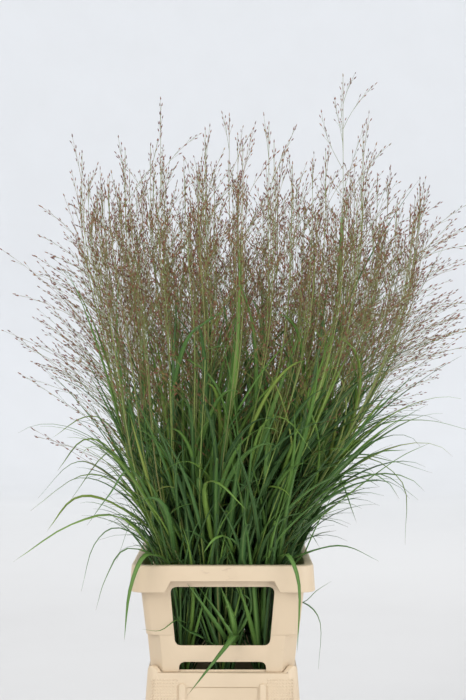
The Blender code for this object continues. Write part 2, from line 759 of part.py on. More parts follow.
def main():
    for old in list(bpy.data.objects):
        bpy.data.objects.remove(old)
    cream = material("cream_plastic", (0.76, 0.61, 0.42), 0.5)
    clear = material("clear_water", (0.70, 0.80, 0.82), 0.05)
    leafy = material("grass_green", (0.10, 0.17, 0.05), 0.55)
    band = material("elastic_band", (0.55, 0.42, 0.26), 0.7)
    build_bucket(cream)
    build_water(clear)
    build_collar(cream)
    for column in range(COLUMNS):
        for row in range(ROWS):
            build_bunch(column, row, leafy)
            build_tie(column, row, band)


main()
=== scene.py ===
"""Looks of the cut switchgrass: its fine leaves and panicles, the crate's surfaces, light and camera.

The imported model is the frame. Each bunch is drawn again by the rules of its solid, with more
stems, leaves and spikelets, and bucket and collar are drawn again with round edges, dimples and
scuffs. Metres, +Z up, the front towards -Y.
"""

import math
import random
from itertools import product

import bmesh
import bpy
import numpy as np
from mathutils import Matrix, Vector

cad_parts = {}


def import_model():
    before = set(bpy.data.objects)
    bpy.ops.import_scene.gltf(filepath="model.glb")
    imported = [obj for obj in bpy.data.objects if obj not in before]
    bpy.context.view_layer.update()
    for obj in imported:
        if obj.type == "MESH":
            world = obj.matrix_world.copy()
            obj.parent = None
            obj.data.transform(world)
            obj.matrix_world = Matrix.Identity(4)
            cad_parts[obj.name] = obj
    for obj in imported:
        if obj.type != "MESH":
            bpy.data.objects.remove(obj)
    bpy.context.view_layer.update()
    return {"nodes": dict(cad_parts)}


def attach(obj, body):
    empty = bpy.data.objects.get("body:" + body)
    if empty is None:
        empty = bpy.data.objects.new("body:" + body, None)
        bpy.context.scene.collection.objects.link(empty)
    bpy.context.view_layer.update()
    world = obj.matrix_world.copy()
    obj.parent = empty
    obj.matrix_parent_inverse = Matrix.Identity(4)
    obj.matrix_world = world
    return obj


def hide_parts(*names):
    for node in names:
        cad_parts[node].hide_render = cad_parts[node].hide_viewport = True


# Camera: the photograph's place, tilt and focal length, for an image of 466 x 700 pixels.
CAMERA_PLACE = (0.017, -2.2, 0.777)
CAMERA_TILT = math.radians(1.29)
CAMERA_LENS = 64.1

# Bucket and collar. A half is half the width along X. Along Y everything is longer by the same amount.
LONGER_HALF = 0.05
BUCKET_TOP = 0.3
WALL = 0.004
BASE_HALF = 0.1
BASE_CORNER = 0.03
BASE_EDGE = 0.003
WAIST_HALF = 0.1135
INSIDE_HALF = 0.109
INSIDE_CORNER = 0.019
SKIRT_TOP_HALF = 0.1222
SKIRT_BOTTOM_HALF = 0.1268
SKIRT_BOTTOM = 0.238
SKIRT_WALL = 0.003
CORNER_BOSS = 0.01
BOSS_BEYOND = 0.002
BOSS_CORNER = 0.0205
LIP_HEIGHT = 0.003
COLLAR_HEIGHT = 0.1764
COLLAR_FOOT_HALF = 0.117
COLLAR_SLOPE = 0.114
COLLAR_STEP = 0.0618
INNER_STEP = 0.002
POST_CHAMFER = 0.021
BODY_CORNER = 0.013
CORNER_STEPS = 10
BAND_HALF = 0.15
BAND_DEPTH = 0.0425
BAND_PLATE = 0.005
BAND_WALL_TOP, BAND_WALL = 0.007, 0.004
ROLL_RADIUS = 0.0032
ROLL_INSET = 0.0026
ROLL_STEPS = 6
SMALL_STEP = 0.001
HAIRLINE = 0.0005
FIT_GAP = 0.0003
RIM = BUCKET_TOP + COLLAR_HEIGHT
BAND_BOTTOM = RIM - BAND_DEPTH
EDGE_ROUND = 0.0011
ROUND_FROM, SHARP_FROM = math.radians(38), math.radians(32)

# The rim's inner edge: how far in from the outer face, and how far below the rim.
INNER_EDGE = ((0.0022, 0.0), (0.0037, 0.0008), (WALL, 0.0022))

# Openings in the collar, as half widths and heights: window and notch above the collar's foot, the arch
# above the rim band's lower edge.
WINDOW_TOP_HALF = 0.0846
WINDOW_BOTTOM_HALF = 0.0766
WINDOW_TOP = 0.1403
WINDOW_BOTTOM = 0.044
WINDOW_CORNER = 0.011
NOTCH_HALF = 0.0706
NOTCH_TOP = 0.0168
ARCH_TOP_HALF = 0.083
ARCH_FOOT_HALF = 0.0922
ARCH_RISE = 0.0177

# How far the cutters run past what they cut: through the walls, below the foot, and round the band.
THROUGH = 0.3
NOTCH_BELOW = 0.03
ARCH_BELOW, ARCH_FLARE = 0.01, 0.0052
ARCH_OFF_WALL, ARCH_PAST_BAND = 0.005, 0.02
PANEL_PAST_SKIRT = 0.02

# Marks on the bucket's skirt: dimples beside a label panel that lies between two rails.
DIMPLE_PITCH = 0.005
DIMPLE_RADIUS = 0.0016
DIMPLE_HEIGHT = 0.0009
DIMPLE_SIDES = 8
DIMPLE_ROWS, DIMPLE_COLUMNS = 10, 9
DIMPLES_FROM, DIMPLES_LOWEST = 0.074, SKIRT_BOTTOM + 0.006
PANEL_HALF = 0.0575
PANEL_BOTTOM, PANEL_TOP = SKIRT_BOTTOM + 0.004, 0.277
PANEL_CORNER = 0.003
PANEL_DEPTH = 0.0009
RAIL_INSIDE, RAIL_OUTSIDE = 0.06, 0.0705
RAIL_BOTTOM, RAIL_TOP = 0.244, 0.283
RAIL_CORNER = 0.0045
RAIL_SUNK, RAIL_PROUD = 0.002, 0.003

# A dimple's rings: share of its radius, and height above the skirt.
DIMPLE_RINGS = ((1.0, -0.0003), (0.8, 0.6 * DIMPLE_HEIGHT), (0.45, DIMPLE_HEIGHT))

# Clump, as in the solids.
COLUMNS, ROWS = 3, 4
FOOT_SPREAD = (0.084, 0.132)
RIM_SPREAD = (0.116, 0.164)
TOP_SPREAD = (0.33, 0.345)
FAN_HEIGHT = 0.6
FAN_POWER = 1.7
LEAN = 0.054
LEAN_HEIGHT = 0.42
TIE_HEIGHT = 0.2
TIE_HOLD = 0.03
SPREAD_HEIGHT = 0.43
FOOT_Z = WALL + FIT_GAP
PARCEL_FILL = 0.78
CORNER_PULL = 0.25
STEM_BOW = 0.012
FREE_SHARE = 0.6
LEAF_CLEARANCE = 0.0085
BRANCH_CLEARANCE = 0.004
CRATE_CLEARANCE = 0.006
ABOVE_RIM = 0.012
BESIDE_BAND = 0.004
PACK_RADIUS = 0.003
FOOT_SPLAY, SPLAY_BELOW = 0.7, 0.04
CLUMP_TOP = 1.165
TOP_VARIES = 0.03
TOP_DOME = 0.085
TALL_CHANCE, TALL_EXTRA = 0.06, 0.075
TALLEST_STEM = (2, 1, 1)
TALLEST_TOP = 1.296
PANICLE_LENGTH = 0.37
PANICLE_VARIES = (0.88, 1.1)
SEED = 41
GOLDEN_TURN = math.radians(137.5)
GOLDEN_SHARE = 0.618
SCATTER_FROM, SCATTER = (0.31, 0.17), (0.7549, 0.5698)
STEMS = 3
LEAVES = 4
BRANCHES = 5

# How leaves and branches grow. A bend is two ranges in degrees: the angle to the stem and the bending over.
LEAF_TRIES = 12
LEAF_LENGTH = 0.4
LEAF_VARIES, LEAF_UPWARD = (0.8, 1.2), (1.0, 0.72)
LEAF_TURNS, OUTWARD_AT = 0.45, 0.9
SLOT_MIDDLE = (0.1, 0.9)
LEAF_ROOTS = (0.27, 0.06)
ARCHING_CHANCE = 0.45
ARCHING_EDGE = (0.45, 0.4)
ARCHING_BELOW_RIM = 0.05
ARCHING_BEND = ((18, 30), (60, 115))
UPRIGHT_BEND = ((5, 13), (8, 40))
DROOP_POWER = 1.8
BRANCH_LENGTHS, BRANCH_VARIES = (0.19, 0.055), (0.8, 1.15)
BRANCHES_FROM, BRANCHES_OVER = 0.1, 0.9
BRANCH_TURNS, BRANCH_SHORTENED = 0.4, 0.8
BRANCH_BEND = ((20, 38), (5, 32))

# What a drawn bunch and a drawn stem carry. The first stems, leaves and branches are those of the solid.
STEMS_DRAWN = 21
LEAVES_DRAWN = 8
BRANCHES_DRAWN = 11
CULM_STEPS, CULM_SIDES = 18, 6
LEAF_STEPS = 12
BRANCH_STEPS, STALK_SIDES = 6, 3
LEADER_LENGTH = 0.065

# Stems that only the drawing has spread over their whole parcel and stand further inward. They are
# shorter, most so in the middle of the clump, and a little more on its right.
DRAWN_FILL = 1.15
DRAWN_INWARD = 0.9
DRAWN_SHORTER = 0.4
DRAWN_SHORTER_EDGE = (1.15, 0.26)
DRAWN_TILT = 0.025

# Leaves that only the drawing has bend more freely and grow shorter towards the clump's left edge. There
# every leaf is narrower.
DRAWN_ROOTS = (0.205, 0.02)
DRAWN_ROOTS_POWER = 0.8
DRAWN_LEAF_FROM, DRAWN_LEAF_SCATTER = 0.37, 0.29
DRAWN_LEAF_BEND = ((6, 26), (12, 105))
DRAWN_LEAF_VARIES, DRAWN_LEAF_UPWARD = (0.62, 1.05), (0.95, 0.7)
LEFT_EDGE = 0.8
LEFT_LEAF_NARROWER = 0.45
LEFT_LEAF_SHORTER = 0.3

# Branches that only the drawing has bend out into wide sprays at the clump's edge. No branch and none
# of those leaves goes beyond the reach, as left, right, front and back.
DRAWN_BRANCH_BEND = ((13, 34), (-6, 26))
SPRAY_EDGE = (0.6, 0.5)
SPRAY_OPENING = (math.radians(8), math.radians(46))
SPRAY_LONGER = 0.35
REACH = (-0.4, 0.47, -0.48, 0.405)

# Sizes of what is drawn.
CULM_RADIUS = 0.0015
CULM_TIP, CULM_VARIES = 0.26, (0.85, 1.1)
CULM_TAPER_FROM, CULM_TAPER_OVER = 0.3, 0.7
STALK_RADIUS = 0.00033
BRANCH_GIRTHS, BRANCHLET_GIRTHS = (1.25, 0.6), (0.7, 0.5)
LOW_LEAF_WIDTH, HIGH_LEAF_WIDTH = 0.0175, 0.0095
HELD_LEAF_WIDTH = 0.0115
LEAF_WIDTH_VARIES, PLACED_WIDTH_VARIES = (0.7, 1.1), (0.9, 1.1)
BLADE_FOOT, BLADE_WIDENS, BLADE_TAPERS = 0.24, 7.6, 1.6
BLADE_THICKNESS = 0.0006
BLADE_FOLD = (0.42, 0.12)
BLADE_TWIST = 0.5
BLADE_RIPPLE, BLADE_RIPPLES = 0.1, 2.5
BRANCHLETS = 8
BRANCHLET_SPACING = 0.0135
BRANCHLETS_FROM, BRANCHLETS_OVER = 0.3, 0.66
BRANCHLET_LENGTH = (0.002, 0.009)
BRANCHLET_TAPER, BRANCHLET_TILT = 0.16, (0.1, 0.38)
SPIKELET_LENGTH, SPIKELET_LENGTH_VARIES = 0.0074, (0.75, 1.15)
SPIKELET_RADIUS, SPIKELET_RADIUS_VARIES = 0.00102, (0.8, 1.15)
SPIKELET_TILT = (0.0, 0.15)
SPIKELET_SIDES = 3
SPIKELET_RINGS = ((0.3, 1.0), (0.68, 0.75))

# Tones from dark to bright: of low and high leaves, of listed leaves, and of spikelets.
LEAF_TONES, LEAF_TONE_VARIES = (0.17, 0.54), 0.29
PLACED_TONE, PLACED_HANGING, PLACED_RISING = 0.4, 0.6, 0.95
SPIKELET_TONE, SPIKELET_TONE_VARIES = 0.34, 0.24

# A blade's cross section: how far across, how far up the fold, and above or below the midrib.
BLADE_SECTION = (
    (1.0, 1.0, 0.0),
    (0.0, 0.0, -1.0),
    (-1.0, 1.0, 0.0),
    (-0.5, 0.42, 0.5),
    (0.0, 0.0, 0.3),
    (0.5, 0.42, 0.5),
)

# Long leaves that arch out of the clump: the bunch's column and row, then points along the leaf in
# millimetres.
WILD_LEAVES = (
    (0, 0, ((-85, -110, 452), (-155, -215, 553), (-235, -250, 548), (-324, -260, 492))),
    (0, 0, ((-70, -140, 470), (-90, -215, 572), (-130, -240, 580), (-165, -245, 491))),
    (0, 0, ((-100, -135, 462), (-127, -207, 495), (-146, -228, 442), (-154, -232, 363))),
    (0, 1, ((-100, -60, 490), (-175, -85, 592), (-240, -95, 612), (-325, -105, 553))),
    (0, 2, ((-110, 50, 560), (-200, 50, 688), (-250, 50, 706), (-308, 55, 670))),
    (0, 3, ((-90, 130, 500), (-160, 200, 620), (-230, 260, 630), (-310, 300, 530))),
    (1, 3, ((20, 120, 470), (30, 215, 560), (40, 300, 560), (45, 380, 440))),
    (2, 0, ((80, -120, 455), (100, -205, 496), (121, -225, 450), (118, -230, 345))),
    (2, 0, ((95, -130, 460), (150, -175, 497), (200, -182, 505), (252, -185, 482))),
    (2, 1, ((130, -60, 560), (240, -50, 682), (345, -30, 704), (445, -10, 682))),
    (2, 1, ((120, -50, 480), (210, -55, 567), (296, -60, 636), (353, -60, 665))),
    (2, 2, ((120, 20, 500), (230, 30, 632), (320, 35, 590), (325, 38, 479))),
    (2, 3, ((80, 120, 470), (150, 200, 570), (220, 290, 590), (270, 350, 480))),
)

# Leaves that the solids leave out: bunch, greatest width and points, in millimetres. They may cross
# other bunches.
EXTRA_LEAVES = (
    (0, 1, 12, ((-105, -40, 540), (-185, -45, 648), (-240, -50, 670), (-285, -55, 617))),
    (0, 0, 11, ((-90, -150, 540), (-140, -205, 629), (-177, -215, 594), (-214, -220, 544))),
    (0, 0, 8, ((-100, -120, 480), (-165, -190, 535), (-205, -200, 510), (-225, -205, 437))),
    (0, 0, 7, ((-95, -140, 470), (-155, -205, 505), (-185, -215, 460), (-200, -220, 410))),
    (0, 0, 12, ((-100, -200, 740), (-60, -270, 832), (-20, -285, 866), (22, -290, 890))),
    (0, 1, 11, ((-100, -70, 500), (-190, -90, 566), (-250, -100, 574), (-295, -105, 520))),
    (0, 2, 11, ((-110, 40, 520), (-220, 50, 612), (-275, 50, 622), (-335, 55, 560))),
    (1, 0, 12, ((-20, -140, 490), (-30, -220, 600), (-5, -250, 612), (40, -262, 570))),
    (1, 0, 9, ((20, -140, 470), (10, -200, 520), (-12, -215, 522), (-32, -220, 497))),
    (1, 0, 11, ((30, -150, 600), (60, -230, 700), (100, -250, 712), (145, -255, 655))),
    (2, 0, 12, ((105, -110, 540), (195, -120, 643), (275, -120, 640), (349, -120, 619))),
    (2, 0, 13, ((100, -120, 490), (185, -150, 603), (245, -160, 652), (300, -165, 660))),
    (2, 1, 12, ((110, -50, 500), (200, -60, 588), (270, -60, 612), (335, -60, 568))),
    (2, 1, 7, ((105, -95, 390), (140, -100, 398), (164, -100, 366), (160, -100, 289))),
    (2, 1, 3, ((100, -90, 385), (138, -100, 398), (158, -100, 420), (182, -100, 436))),
    (1, 0, 20, ((50, -130, 335), (33, -164, 358), (6, -194, 345), (-55, -225, 277))),
    (1, 0, 17, ((12, -135, 335), (-10, -150, 372), (-30, -168, 405), (-57, -190, 448))),
    (1, 0, 21, ((35, -135, 325), (22, -148, 352), (-8, -152, 392), (-48, -150, 447))),
    (1, 0, 18, ((-5, -140, 325), (-35, -153, 351), (-62, -157, 368), (-82, -158, 392))),
    (1, 0, 16, ((30, -140, 330), (24, -150, 365), (12, -153, 400), (-5, -155, 440))),
    (1, 0, 10, ((30, -130, 330), (50, -145, 385), (45, -150, 415), (15, -155, 430))),
    (0, 0, 3, ((-60, -150, 370), (-75, -180, 385), (-100, -192, 372), (-128, -195, 375))),
)


# Small helpers


def mix(low, high, share):
    return low + (high - low) * share


def smooth(share):
    share = np.clip(share, 0.0, 1.0)
    return share * share * (3.0 - 2.0 * share)


def part_of_one(value):
    return value - math.floor(value)


def unit(vectors):
    return vectors / np.maximum(np.linalg.norm(vectors, axis=-1, keepdims=True), 1e-9)


def as_object(name, data, finish=None):
    made = bpy.data.objects.new(name, data)
    bpy.context.scene.collection.objects.link(made)
    if finish:
        data.materials.append(finish)
    return made


def mesh_object(name, points, face_sets, finish, values=None):
    """One object from arrays of points and faces, with a named number for each point."""
    mesh = bpy.data.meshes.new(name)
    mesh.vertices.add(len(points))
    mesh.vertices.foreach_set("co", np.asarray(points, np.float32).ravel())
    corners = np.concatenate([faces.ravel() for faces in face_sets])
    sizes = np.concatenate([np.full(len(faces), faces.shape[1]) for faces in face_sets])
    mesh.loops.add(len(corners))
    mesh.loops.foreach_set("vertex_index", corners.astype(np.int32))
    mesh.polygons.add(len(sizes))
    mesh.polygons.foreach_set("loop_start", (np.cumsum(sizes) - sizes).astype(np.int32))
    mesh.update(calc_edges=True)
    mesh.validate()
    mesh.polygons.foreach_set("use_smooth", np.ones(len(mesh.polygons), bool))
    for key, numbers in (values or {}).items():
        layer = mesh.attributes.new(key, "FLOAT", "POINT")
        layer.data.foreach_set("value", np.asarray(numbers, np.float32))
    return as_object(name, mesh, finish)


# Materials

SOCKETS = {
    "roughness": "Roughness",
    "specular": "Specular IOR Level",
    "ior": "IOR",
    "transmission": "Transmission Weight",
}


class Finish:
    """A material in the making, with a short call for each kind of node that is used here."""

    def __init__(self, name, **sockets):
        self.material = bpy.data.materials.new(name)
        self.material.use_nodes = True
        self.tree = self.material.node_tree
        self.shader = self.tree.nodes["Principled BSDF"]
        for socket, value in sockets.items():
            self.shader.inputs[SOCKETS[socket]].default_value = value

    def add(self, kind, **settings):
        node = self.tree.nodes.new("ShaderNode" + kind)
        for key, value in settings.items():
            setattr(node, key, value)
        return node

    def link(self, source, target):
        self.tree.links.new(source, target)

    def value(self, name):
        return self.add("Attribute", attribute_name=name).outputs["Fac"]

    def place(self):
        return self.add("TexCoord").outputs["Object"]

    def stretched(self, vector, scale):
        node = self.add("Mapping")
        node.inputs["Scale"].default_value = scale
        self.link(vector, node.inputs["Vector"])
        return node.outputs["Vector"]

    def noise(self, vector, scale, detail=3.0):
        node = self.add("TexNoise")
        node.inputs["Scale"].default_value = scale
        node.inputs["Detail"].default_value = detail
        self.link(vector, node.inputs["Vector"])
        return node.outputs["Fac"]

    def ramp(self, factor, *stops):
        """Colours or greys at places between 0 and 1."""
        node = self.add("ValToRGB")
        line = node.color_ramp
        while len(line.elements) < len(stops):
            line.elements.new(0.5)
        for element, (place, colour) in zip(line.elements, stops):
            element.position = place
            element.color = (*colour, 1.0) if isinstance(colour, tuple) else (colour, colour, colour, 1.0)
        self.link(factor, node.inputs["Fac"])
        return node.outputs["Color"]

    def feed(self, socket, source):
        """Links a socket to another node's output, or sets it to a number or a colour."""
        if isinstance(source, bpy.types.NodeSocket):
            self.link(source, socket)
        else:
            socket.default_value = (*source, 1.0) if isinstance(source, tuple) else source

    def blend(self, *factor_and_colours):
        node = self.add("MixRGB")
        for socket, source in zip(node.inputs, factor_and_colours):
            self.feed(socket, source)
        return node.outputs["Color"]

    def maths(self, kind, *values):
        node = self.add("Math", operation=kind)
        for socket, source in zip(node.inputs, values):
            self.feed(socket, source)
        return node.outputs["Value"]

    def colour(self, source):
        self.link(source, self.shader.inputs["Base Color"])

    def roughness(self, source):
        self.link(source, self.shader.inputs["Roughness"])

    def bump(self, height, strength, distance):
        node = self.add("Bump")
        node.inputs["Strength"].default_value = strength
        node.inputs["Distance"].default_value = distance
        self.link(height, node.inputs["Height"])
        self.link(node.outputs["Normal"], self.shader.inputs["Normal"])


def leaf_finish():
    """Green blades: a tone for each leaf, a pale midrib, fine veins and a dry tip."""
    made = Finish("grass_blade", roughness=0.46, specular=0.22)
    tone, along, across = made.value("tone"), made.value("along"), made.value("across")
    green = made.ramp(
        tone,
        (0.0, (0.018, 0.055, 0.026)),
        (0.35, (0.042, 0.115, 0.036)),
        (0.65, (0.105, 0.215, 0.038)),
        (0.9, (0.22, 0.32, 0.05)),
        (1.0, (0.32, 0.36, 0.08)),
    )
    lengthways = made.add("CombineXYZ")
    made.link(across, lengthways.inputs["X"])
    made.link(along, lengthways.inputs["Y"])
    made.link(tone, lengthways.inputs["Z"])
    veins = made.noise(made.stretched(lengthways.outputs["Vector"], (9.0, 0.7, 40.0)), 2.2)
    green = made.blend(made.ramp(veins, (0.3, 0.0), (0.75, 0.55)), green, (0.15, 0.26, 0.06))
    patches = made.noise(made.place(), 14.0, 4.0)
    green = made.blend(made.ramp(patches, (0.45, 0.0), (0.75, 0.4)), green, (0.036, 0.105, 0.03))
    rib = made.ramp(made.maths("ABSOLUTE", across), (0.0, 0.45), (0.16, 0.0))
    green = made.blend(rib, green, (0.27, 0.37, 0.11))
    reach = made.maths("ADD", made.maths("MULTIPLY", along, 0.93), made.maths("MULTIPLY", patches, 0.13))
    dry = made.ramp(reach, (0.95, 0.0), (1.0, 0.75))
    green = made.blend(dry, green, (0.23, 0.11, 0.05))
    made.colour(green)
    made.roughness(made.ramp(veins, (0.2, 0.36), (0.8, 0.52)))
    made.bump(veins, 0.25, 0.0004)
    return made.material


def culm_finish():
    """Stems, green below and straw-coloured above, with dark streaks."""
    made = Finish("grass_culm", roughness=0.45)
    tone, along = made.value("tone"), made.value("along")
    straw = made.ramp(
        along, (0.0, (0.15, 0.25, 0.045)), (0.6, (0.23, 0.33, 0.065)), (1.0, (0.26, 0.26, 0.1))
    )
    streaks = made.noise(made.stretched(made.place(), (1.0, 1.0, 0.04)), 900.0)
    straw = made.blend(made.ramp(streaks, (0.4, 0.0), (0.7, 0.5)), straw, (0.09, 0.16, 0.04))
    straw = made.blend(made.ramp(tone, (0.5, 0.0), (1.0, 0.6)), straw, (0.18, 0.09, 0.06))
    made.colour(straw)
    made.bump(streaks, 0.2, 0.0003)
    return made.material


def stalk_finish():
    """The thin stalks of the panicles."""
    made = Finish("panicle_stalk", roughness=0.5)
    patches = made.noise(made.place(), 30.0)
    tone = made.value("tone")
    pale = made.ramp(
        tone, (0.0, (0.13, 0.175, 0.03)), (0.6, (0.235, 0.23, 0.07)), (1.0, (0.27, 0.14, 0.07))
    )
    made.colour(made.blend(made.ramp(patches, (0.4, 0.0), (0.7, 0.45)), pale, (0.16, 0.18, 0.045)))
    return made.material


def spikelet_finish():
    """Spikelets, purple-brown with straw and green ones among them, paler at the base."""
    made = Finish("spikelet", roughness=0.55)
    tone, along = made.value("tone"), made.value("along")
    husk = made.ramp(
        tone,
        (0.0, (0.11, 0.034, 0.026)),
        (0.35, (0.235, 0.07, 0.04)),
        (0.62, (0.31, 0.125, 0.052)),
        (0.85, (0.37, 0.225, 0.075)),
        (1.0, (0.24, 0.25, 0.11)),
    )
    base = made.ramp(along, (0.0, 0.5), (0.5, 0.0))
    husk = made.blend(base, husk, (0.24, 0.16, 0.07))
    grains = made.noise(made.place(), 700.0)
    made.colour(made.blend(made.ramp(grains, (0.35, 0.0), (0.8, 0.5)), husk, (0.085, 0.03, 0.024)))
    return made.material


def plastic_finish():
    """Cream moulded plastic with a fine grain, faint darker runs and a few brown scuffs."""
    made = Finish("cream_plastic", roughness=0.42, specular=0.4)
    place = made.place()
    clouds = made.noise(place, 7.0, 5.0)
    cream = made.ramp(clouds, (0.3, (0.625, 0.492, 0.342)), (0.7, (0.662, 0.53, 0.374)))
    runs = made.noise(made.stretched(place, (1.0, 1.0, 0.35)), 26.0, 6.0)
    cream = made.blend(made.ramp(runs, (0.56, 0.0), (0.78, 0.22)), cream, (0.47, 0.355, 0.24))
    scuffs = made.noise(made.stretched(place, (0.7, 0.7, 1.8)), 75.0, 8.0)
    patches = made.ramp(made.noise(place, 9.0, 2.0), (0.53, 0.0), (0.62, 1.0))
    marked = made.maths("MULTIPLY", made.ramp(scuffs, (0.58, 0.0), (0.66, 0.5)), patches)
    cream = made.blend(marked, cream, (0.4, 0.27, 0.18))
    made.colour(cream)
    made.roughness(made.ramp(clouds, (0.2, 0.36), (0.8, 0.52)))
    made.bump(made.noise(place, 900.0, 2.0), 0.08, 0.0004)
    return made.material


def water_finish():
    made = Finish("clear_water", roughness=0.04, ior=1.33, transmission=0.9)
    ripples = made.noise(made.place(), 22.0)
    made.colour(made.ramp(ripples, (0.2, (0.7, 0.8, 0.78)), (0.8, (0.8, 0.88, 0.86))))
    made.bump(ripples, 0.15, 0.002)
    return made.material


def elastic_finish():
    made = Finish("elastic_band", roughness=0.65)
    wear = made.noise(made.place(), 260.0)
    made.colour(made.ramp(wear, (0.3, (0.42, 0.3, 0.17)), (0.7, (0.56, 0.43, 0.27))))
    made.bump(wear, 0.3, 0.0003)
    return made.material


# Bucket and collar


def ring(half, z, corner, chamfered=False, corner_rise=0.0):
    """A rectangle with round or chamfered corners, counter-clockwise from above."""
    flat_x, flat_y = half - corner, half + LONGER_HALF - corner
    points = []
    for quadrant in range(4):
        for step in range(CORNER_STEPS + 1):
            share = step / CORNER_STEPS
            angle = share * math.pi / 2
            first = 1.0 - share if chamfered else math.cos(angle)
            second = share if chamfered else math.sin(angle)
            if quadrant % 2:
                first, second = second, first
            x = flat_x + corner * first
            y = flat_y + corner * second
            sign_x = 1 if quadrant in (0, 3) else -1
            sign_y = 1 if quadrant in (0, 1) else -1
            points.append((sign_x * x, sign_y * y, z + corner_rise * math.sin(math.pi * share)))
    return points


def solid(name, points, faces, finish):
    mesh = bpy.data.meshes.new(name)
    mesh.from_pydata([tuple(p) for p in points], [], faces)
    shape = bmesh.new()
    shape.from_mesh(mesh)
    bmesh.ops.recalc_face_normals(shape, faces=shape.faces)
    shape.to_mesh(mesh)
    shape.free()
    return as_object(name, mesh, finish)


def loft(name, rings, finish, closed):
    """Skins a row of rings. A closed row runs back to its first ring, an open one is capped."""
    count = len(rings[0])
    points = [p for one in rings for p in one]
    spans = len(rings) if closed else len(rings) - 1
    faces = []
    for row in range(spans):
        start, after = row * count, (row + 1) % len(rings) * count
        for i in range(count):
            j = (i + 1) % count
            faces.append((start + i, start + j, after + j, after + i))
    if not closed:
        faces.append(tuple(range(count)))
        faces.append(tuple(range(len(points) - count, len(points))))
    return solid(name, points, faces, finish)


def rounded_outline(corners, radius, steps=8):
    """A polygon with its corners rounded, as (across, height) pairs."""
    outline = []
    for i, corner in enumerate(corners):
        here = Vector(corner)
        before = (Vector(corners[i - 1]) - here).normalized()
        after = (Vector(corners[(i + 1) % len(corners)]) - here).normalized()
        reach = radius / math.tan(before.angle(after) / 2)
        start, end = here + before * reach, here + after * reach
        for step in range(steps + 1):
            share = step / steps
            outline.append(start.lerp(here, share).lerp(here.lerp(end, share), share))
    return outline


def trapezoid(low_half, high_half, low, high):
    return (-low_half, low), (low_half, low), (high_half, high), (-high_half, high)


def prism(name, outline, near, far, along_y):
    """An outline in the upright plane, pushed through the wall from near to far."""
    ends = [[(x, depth, z) if along_y else (depth, x, z) for x, z in outline] for depth in (near, far)]
    return loft(name, ends, None, False)


def cut_and_round(target, cutters):
    """Cuts the openings, rounds the sharp edges, and keeps the result without modifiers or cutters."""
    for cutter in cutters:
        step = target.modifiers.new("Cut", "BOOLEAN")
        step.operation = "DIFFERENCE"
        step.object = cutter
        step.solver = "EXACT"
    step = target.modifiers.new("Round", "BEVEL")
    step.width = EDGE_ROUND
    step.segments = 3
    step.limit_method = "ANGLE"
    step.angle_limit = ROUND_FROM
    step.use_clamp_overlap = False
    bpy.context.view_layer.update()
    graph = bpy.context.evaluated_depsgraph_get()
    made = bpy.data.meshes.new_from_object(target.evaluated_get(graph))
    target.modifiers.clear()
    target.data = made
    for cutter in cutters:
        bpy.data.objects.remove(cutter)
    made.polygons.foreach_set("use_smooth", np.ones(len(made.polygons), bool))
    made.set_sharp_from_angle(angle=SHARP_FROM)


def collar_half(z):
    """The collar's outer half width at height z."""
    return COLLAR_FOOT_HALF + COLLAR_SLOPE * (z - BUCKET_TOP)


def collar_rings():
    """The collar's wall in rings: up its outside, round its rim band and down its inside."""
    foot, step = BUCKET_TOP + FIT_GAP, BUCKET_TOP + COLLAR_STEP
    under_plate = RIM - BAND_PLATE
    band_corner = BODY_CORNER + BAND_HALF - collar_half(RIM)
    rings = [
        ring(collar_half(foot), foot, POST_CHAMFER, True),
        ring(collar_half(step) - SMALL_STEP, step - SMALL_STEP, POST_CHAMFER, True),
        ring(collar_half(step), step, BODY_CORNER),
        ring(collar_half(under_plate), under_plate, BODY_CORNER),
        ring(BAND_HALF - BAND_WALL_TOP, under_plate, band_corner - BAND_WALL),
        ring(BAND_HALF - BAND_WALL, BAND_BOTTOM, band_corner - BAND_WALL),
        ring(BAND_HALF, BAND_BOTTOM, band_corner),
    ]
    for i in range(ROLL_STEPS + 1):
        turn = math.pi / 2 * i / ROLL_STEPS
        half = BAND_HALF - ROLL_INSET - ROLL_RADIUS * (1 - math.cos(turn))
        rings.append(ring(half, RIM - ROLL_RADIUS * (1 - math.sin(turn)), band_corner))
    rings += [ring(collar_half(RIM) - inward, RIM - below, BODY_CORNER) for inward, below in INNER_EDGE]
    rings += [
        ring(collar_half(step) - WALL, step + INNER_STEP, BODY_CORNER),
        ring(collar_half(step) - WALL, step, POST_CHAMFER, True),
        ring(collar_half(foot) - WALL, foot, POST_CHAMFER, True),
    ]
    return rings


def side_cutters(along_y):
    """What cuts the window, the notch at the foot and the arch in the rim band, on two opposite sides."""
    longer, deeper = (0.0, LONGER_HALF) if along_y else (LONGER_HALF, 0.0)
    side = "front_back" if along_y else "left_right"
    foot, top = WINDOW_BOTTOM_HALF + longer, WINDOW_TOP_HALF + longer
    window = trapezoid(foot, top, BUCKET_TOP + WINDOW_BOTTOM, BUCKET_TOP + WINDOW_TOP)
    across = NOTCH_HALF + longer
    notch = trapezoid(across, across, BUCKET_TOP - NOTCH_BELOW, BUCKET_TOP + NOTCH_TOP)
    cutters = []
    for shape, corners in (("window", window), ("notch", notch)):
        outline = rounded_outline(corners, WINDOW_CORNER)
        cutters.append(prism(f"cut_{shape}_{side}", outline, -THROUGH, THROUGH, along_y))
    foot, top = ARCH_FOOT_HALF + longer + ARCH_FLARE, ARCH_TOP_HALF + longer
    arch = trapezoid(foot, top, BAND_BOTTOM - ARCH_BELOW, BAND_BOTTOM + ARCH_RISE)
    near = collar_half(BAND_BOTTOM + ARCH_RISE) + ARCH_OFF_WALL + deeper
    far = BAND_HALF + ARCH_PAST_BAND + deeper
    for end in (-1, 1):
        cutters.append(prism(f"cut_arch_{side}_{end}", arch, end * near, end * far, along_y))
    return cutters


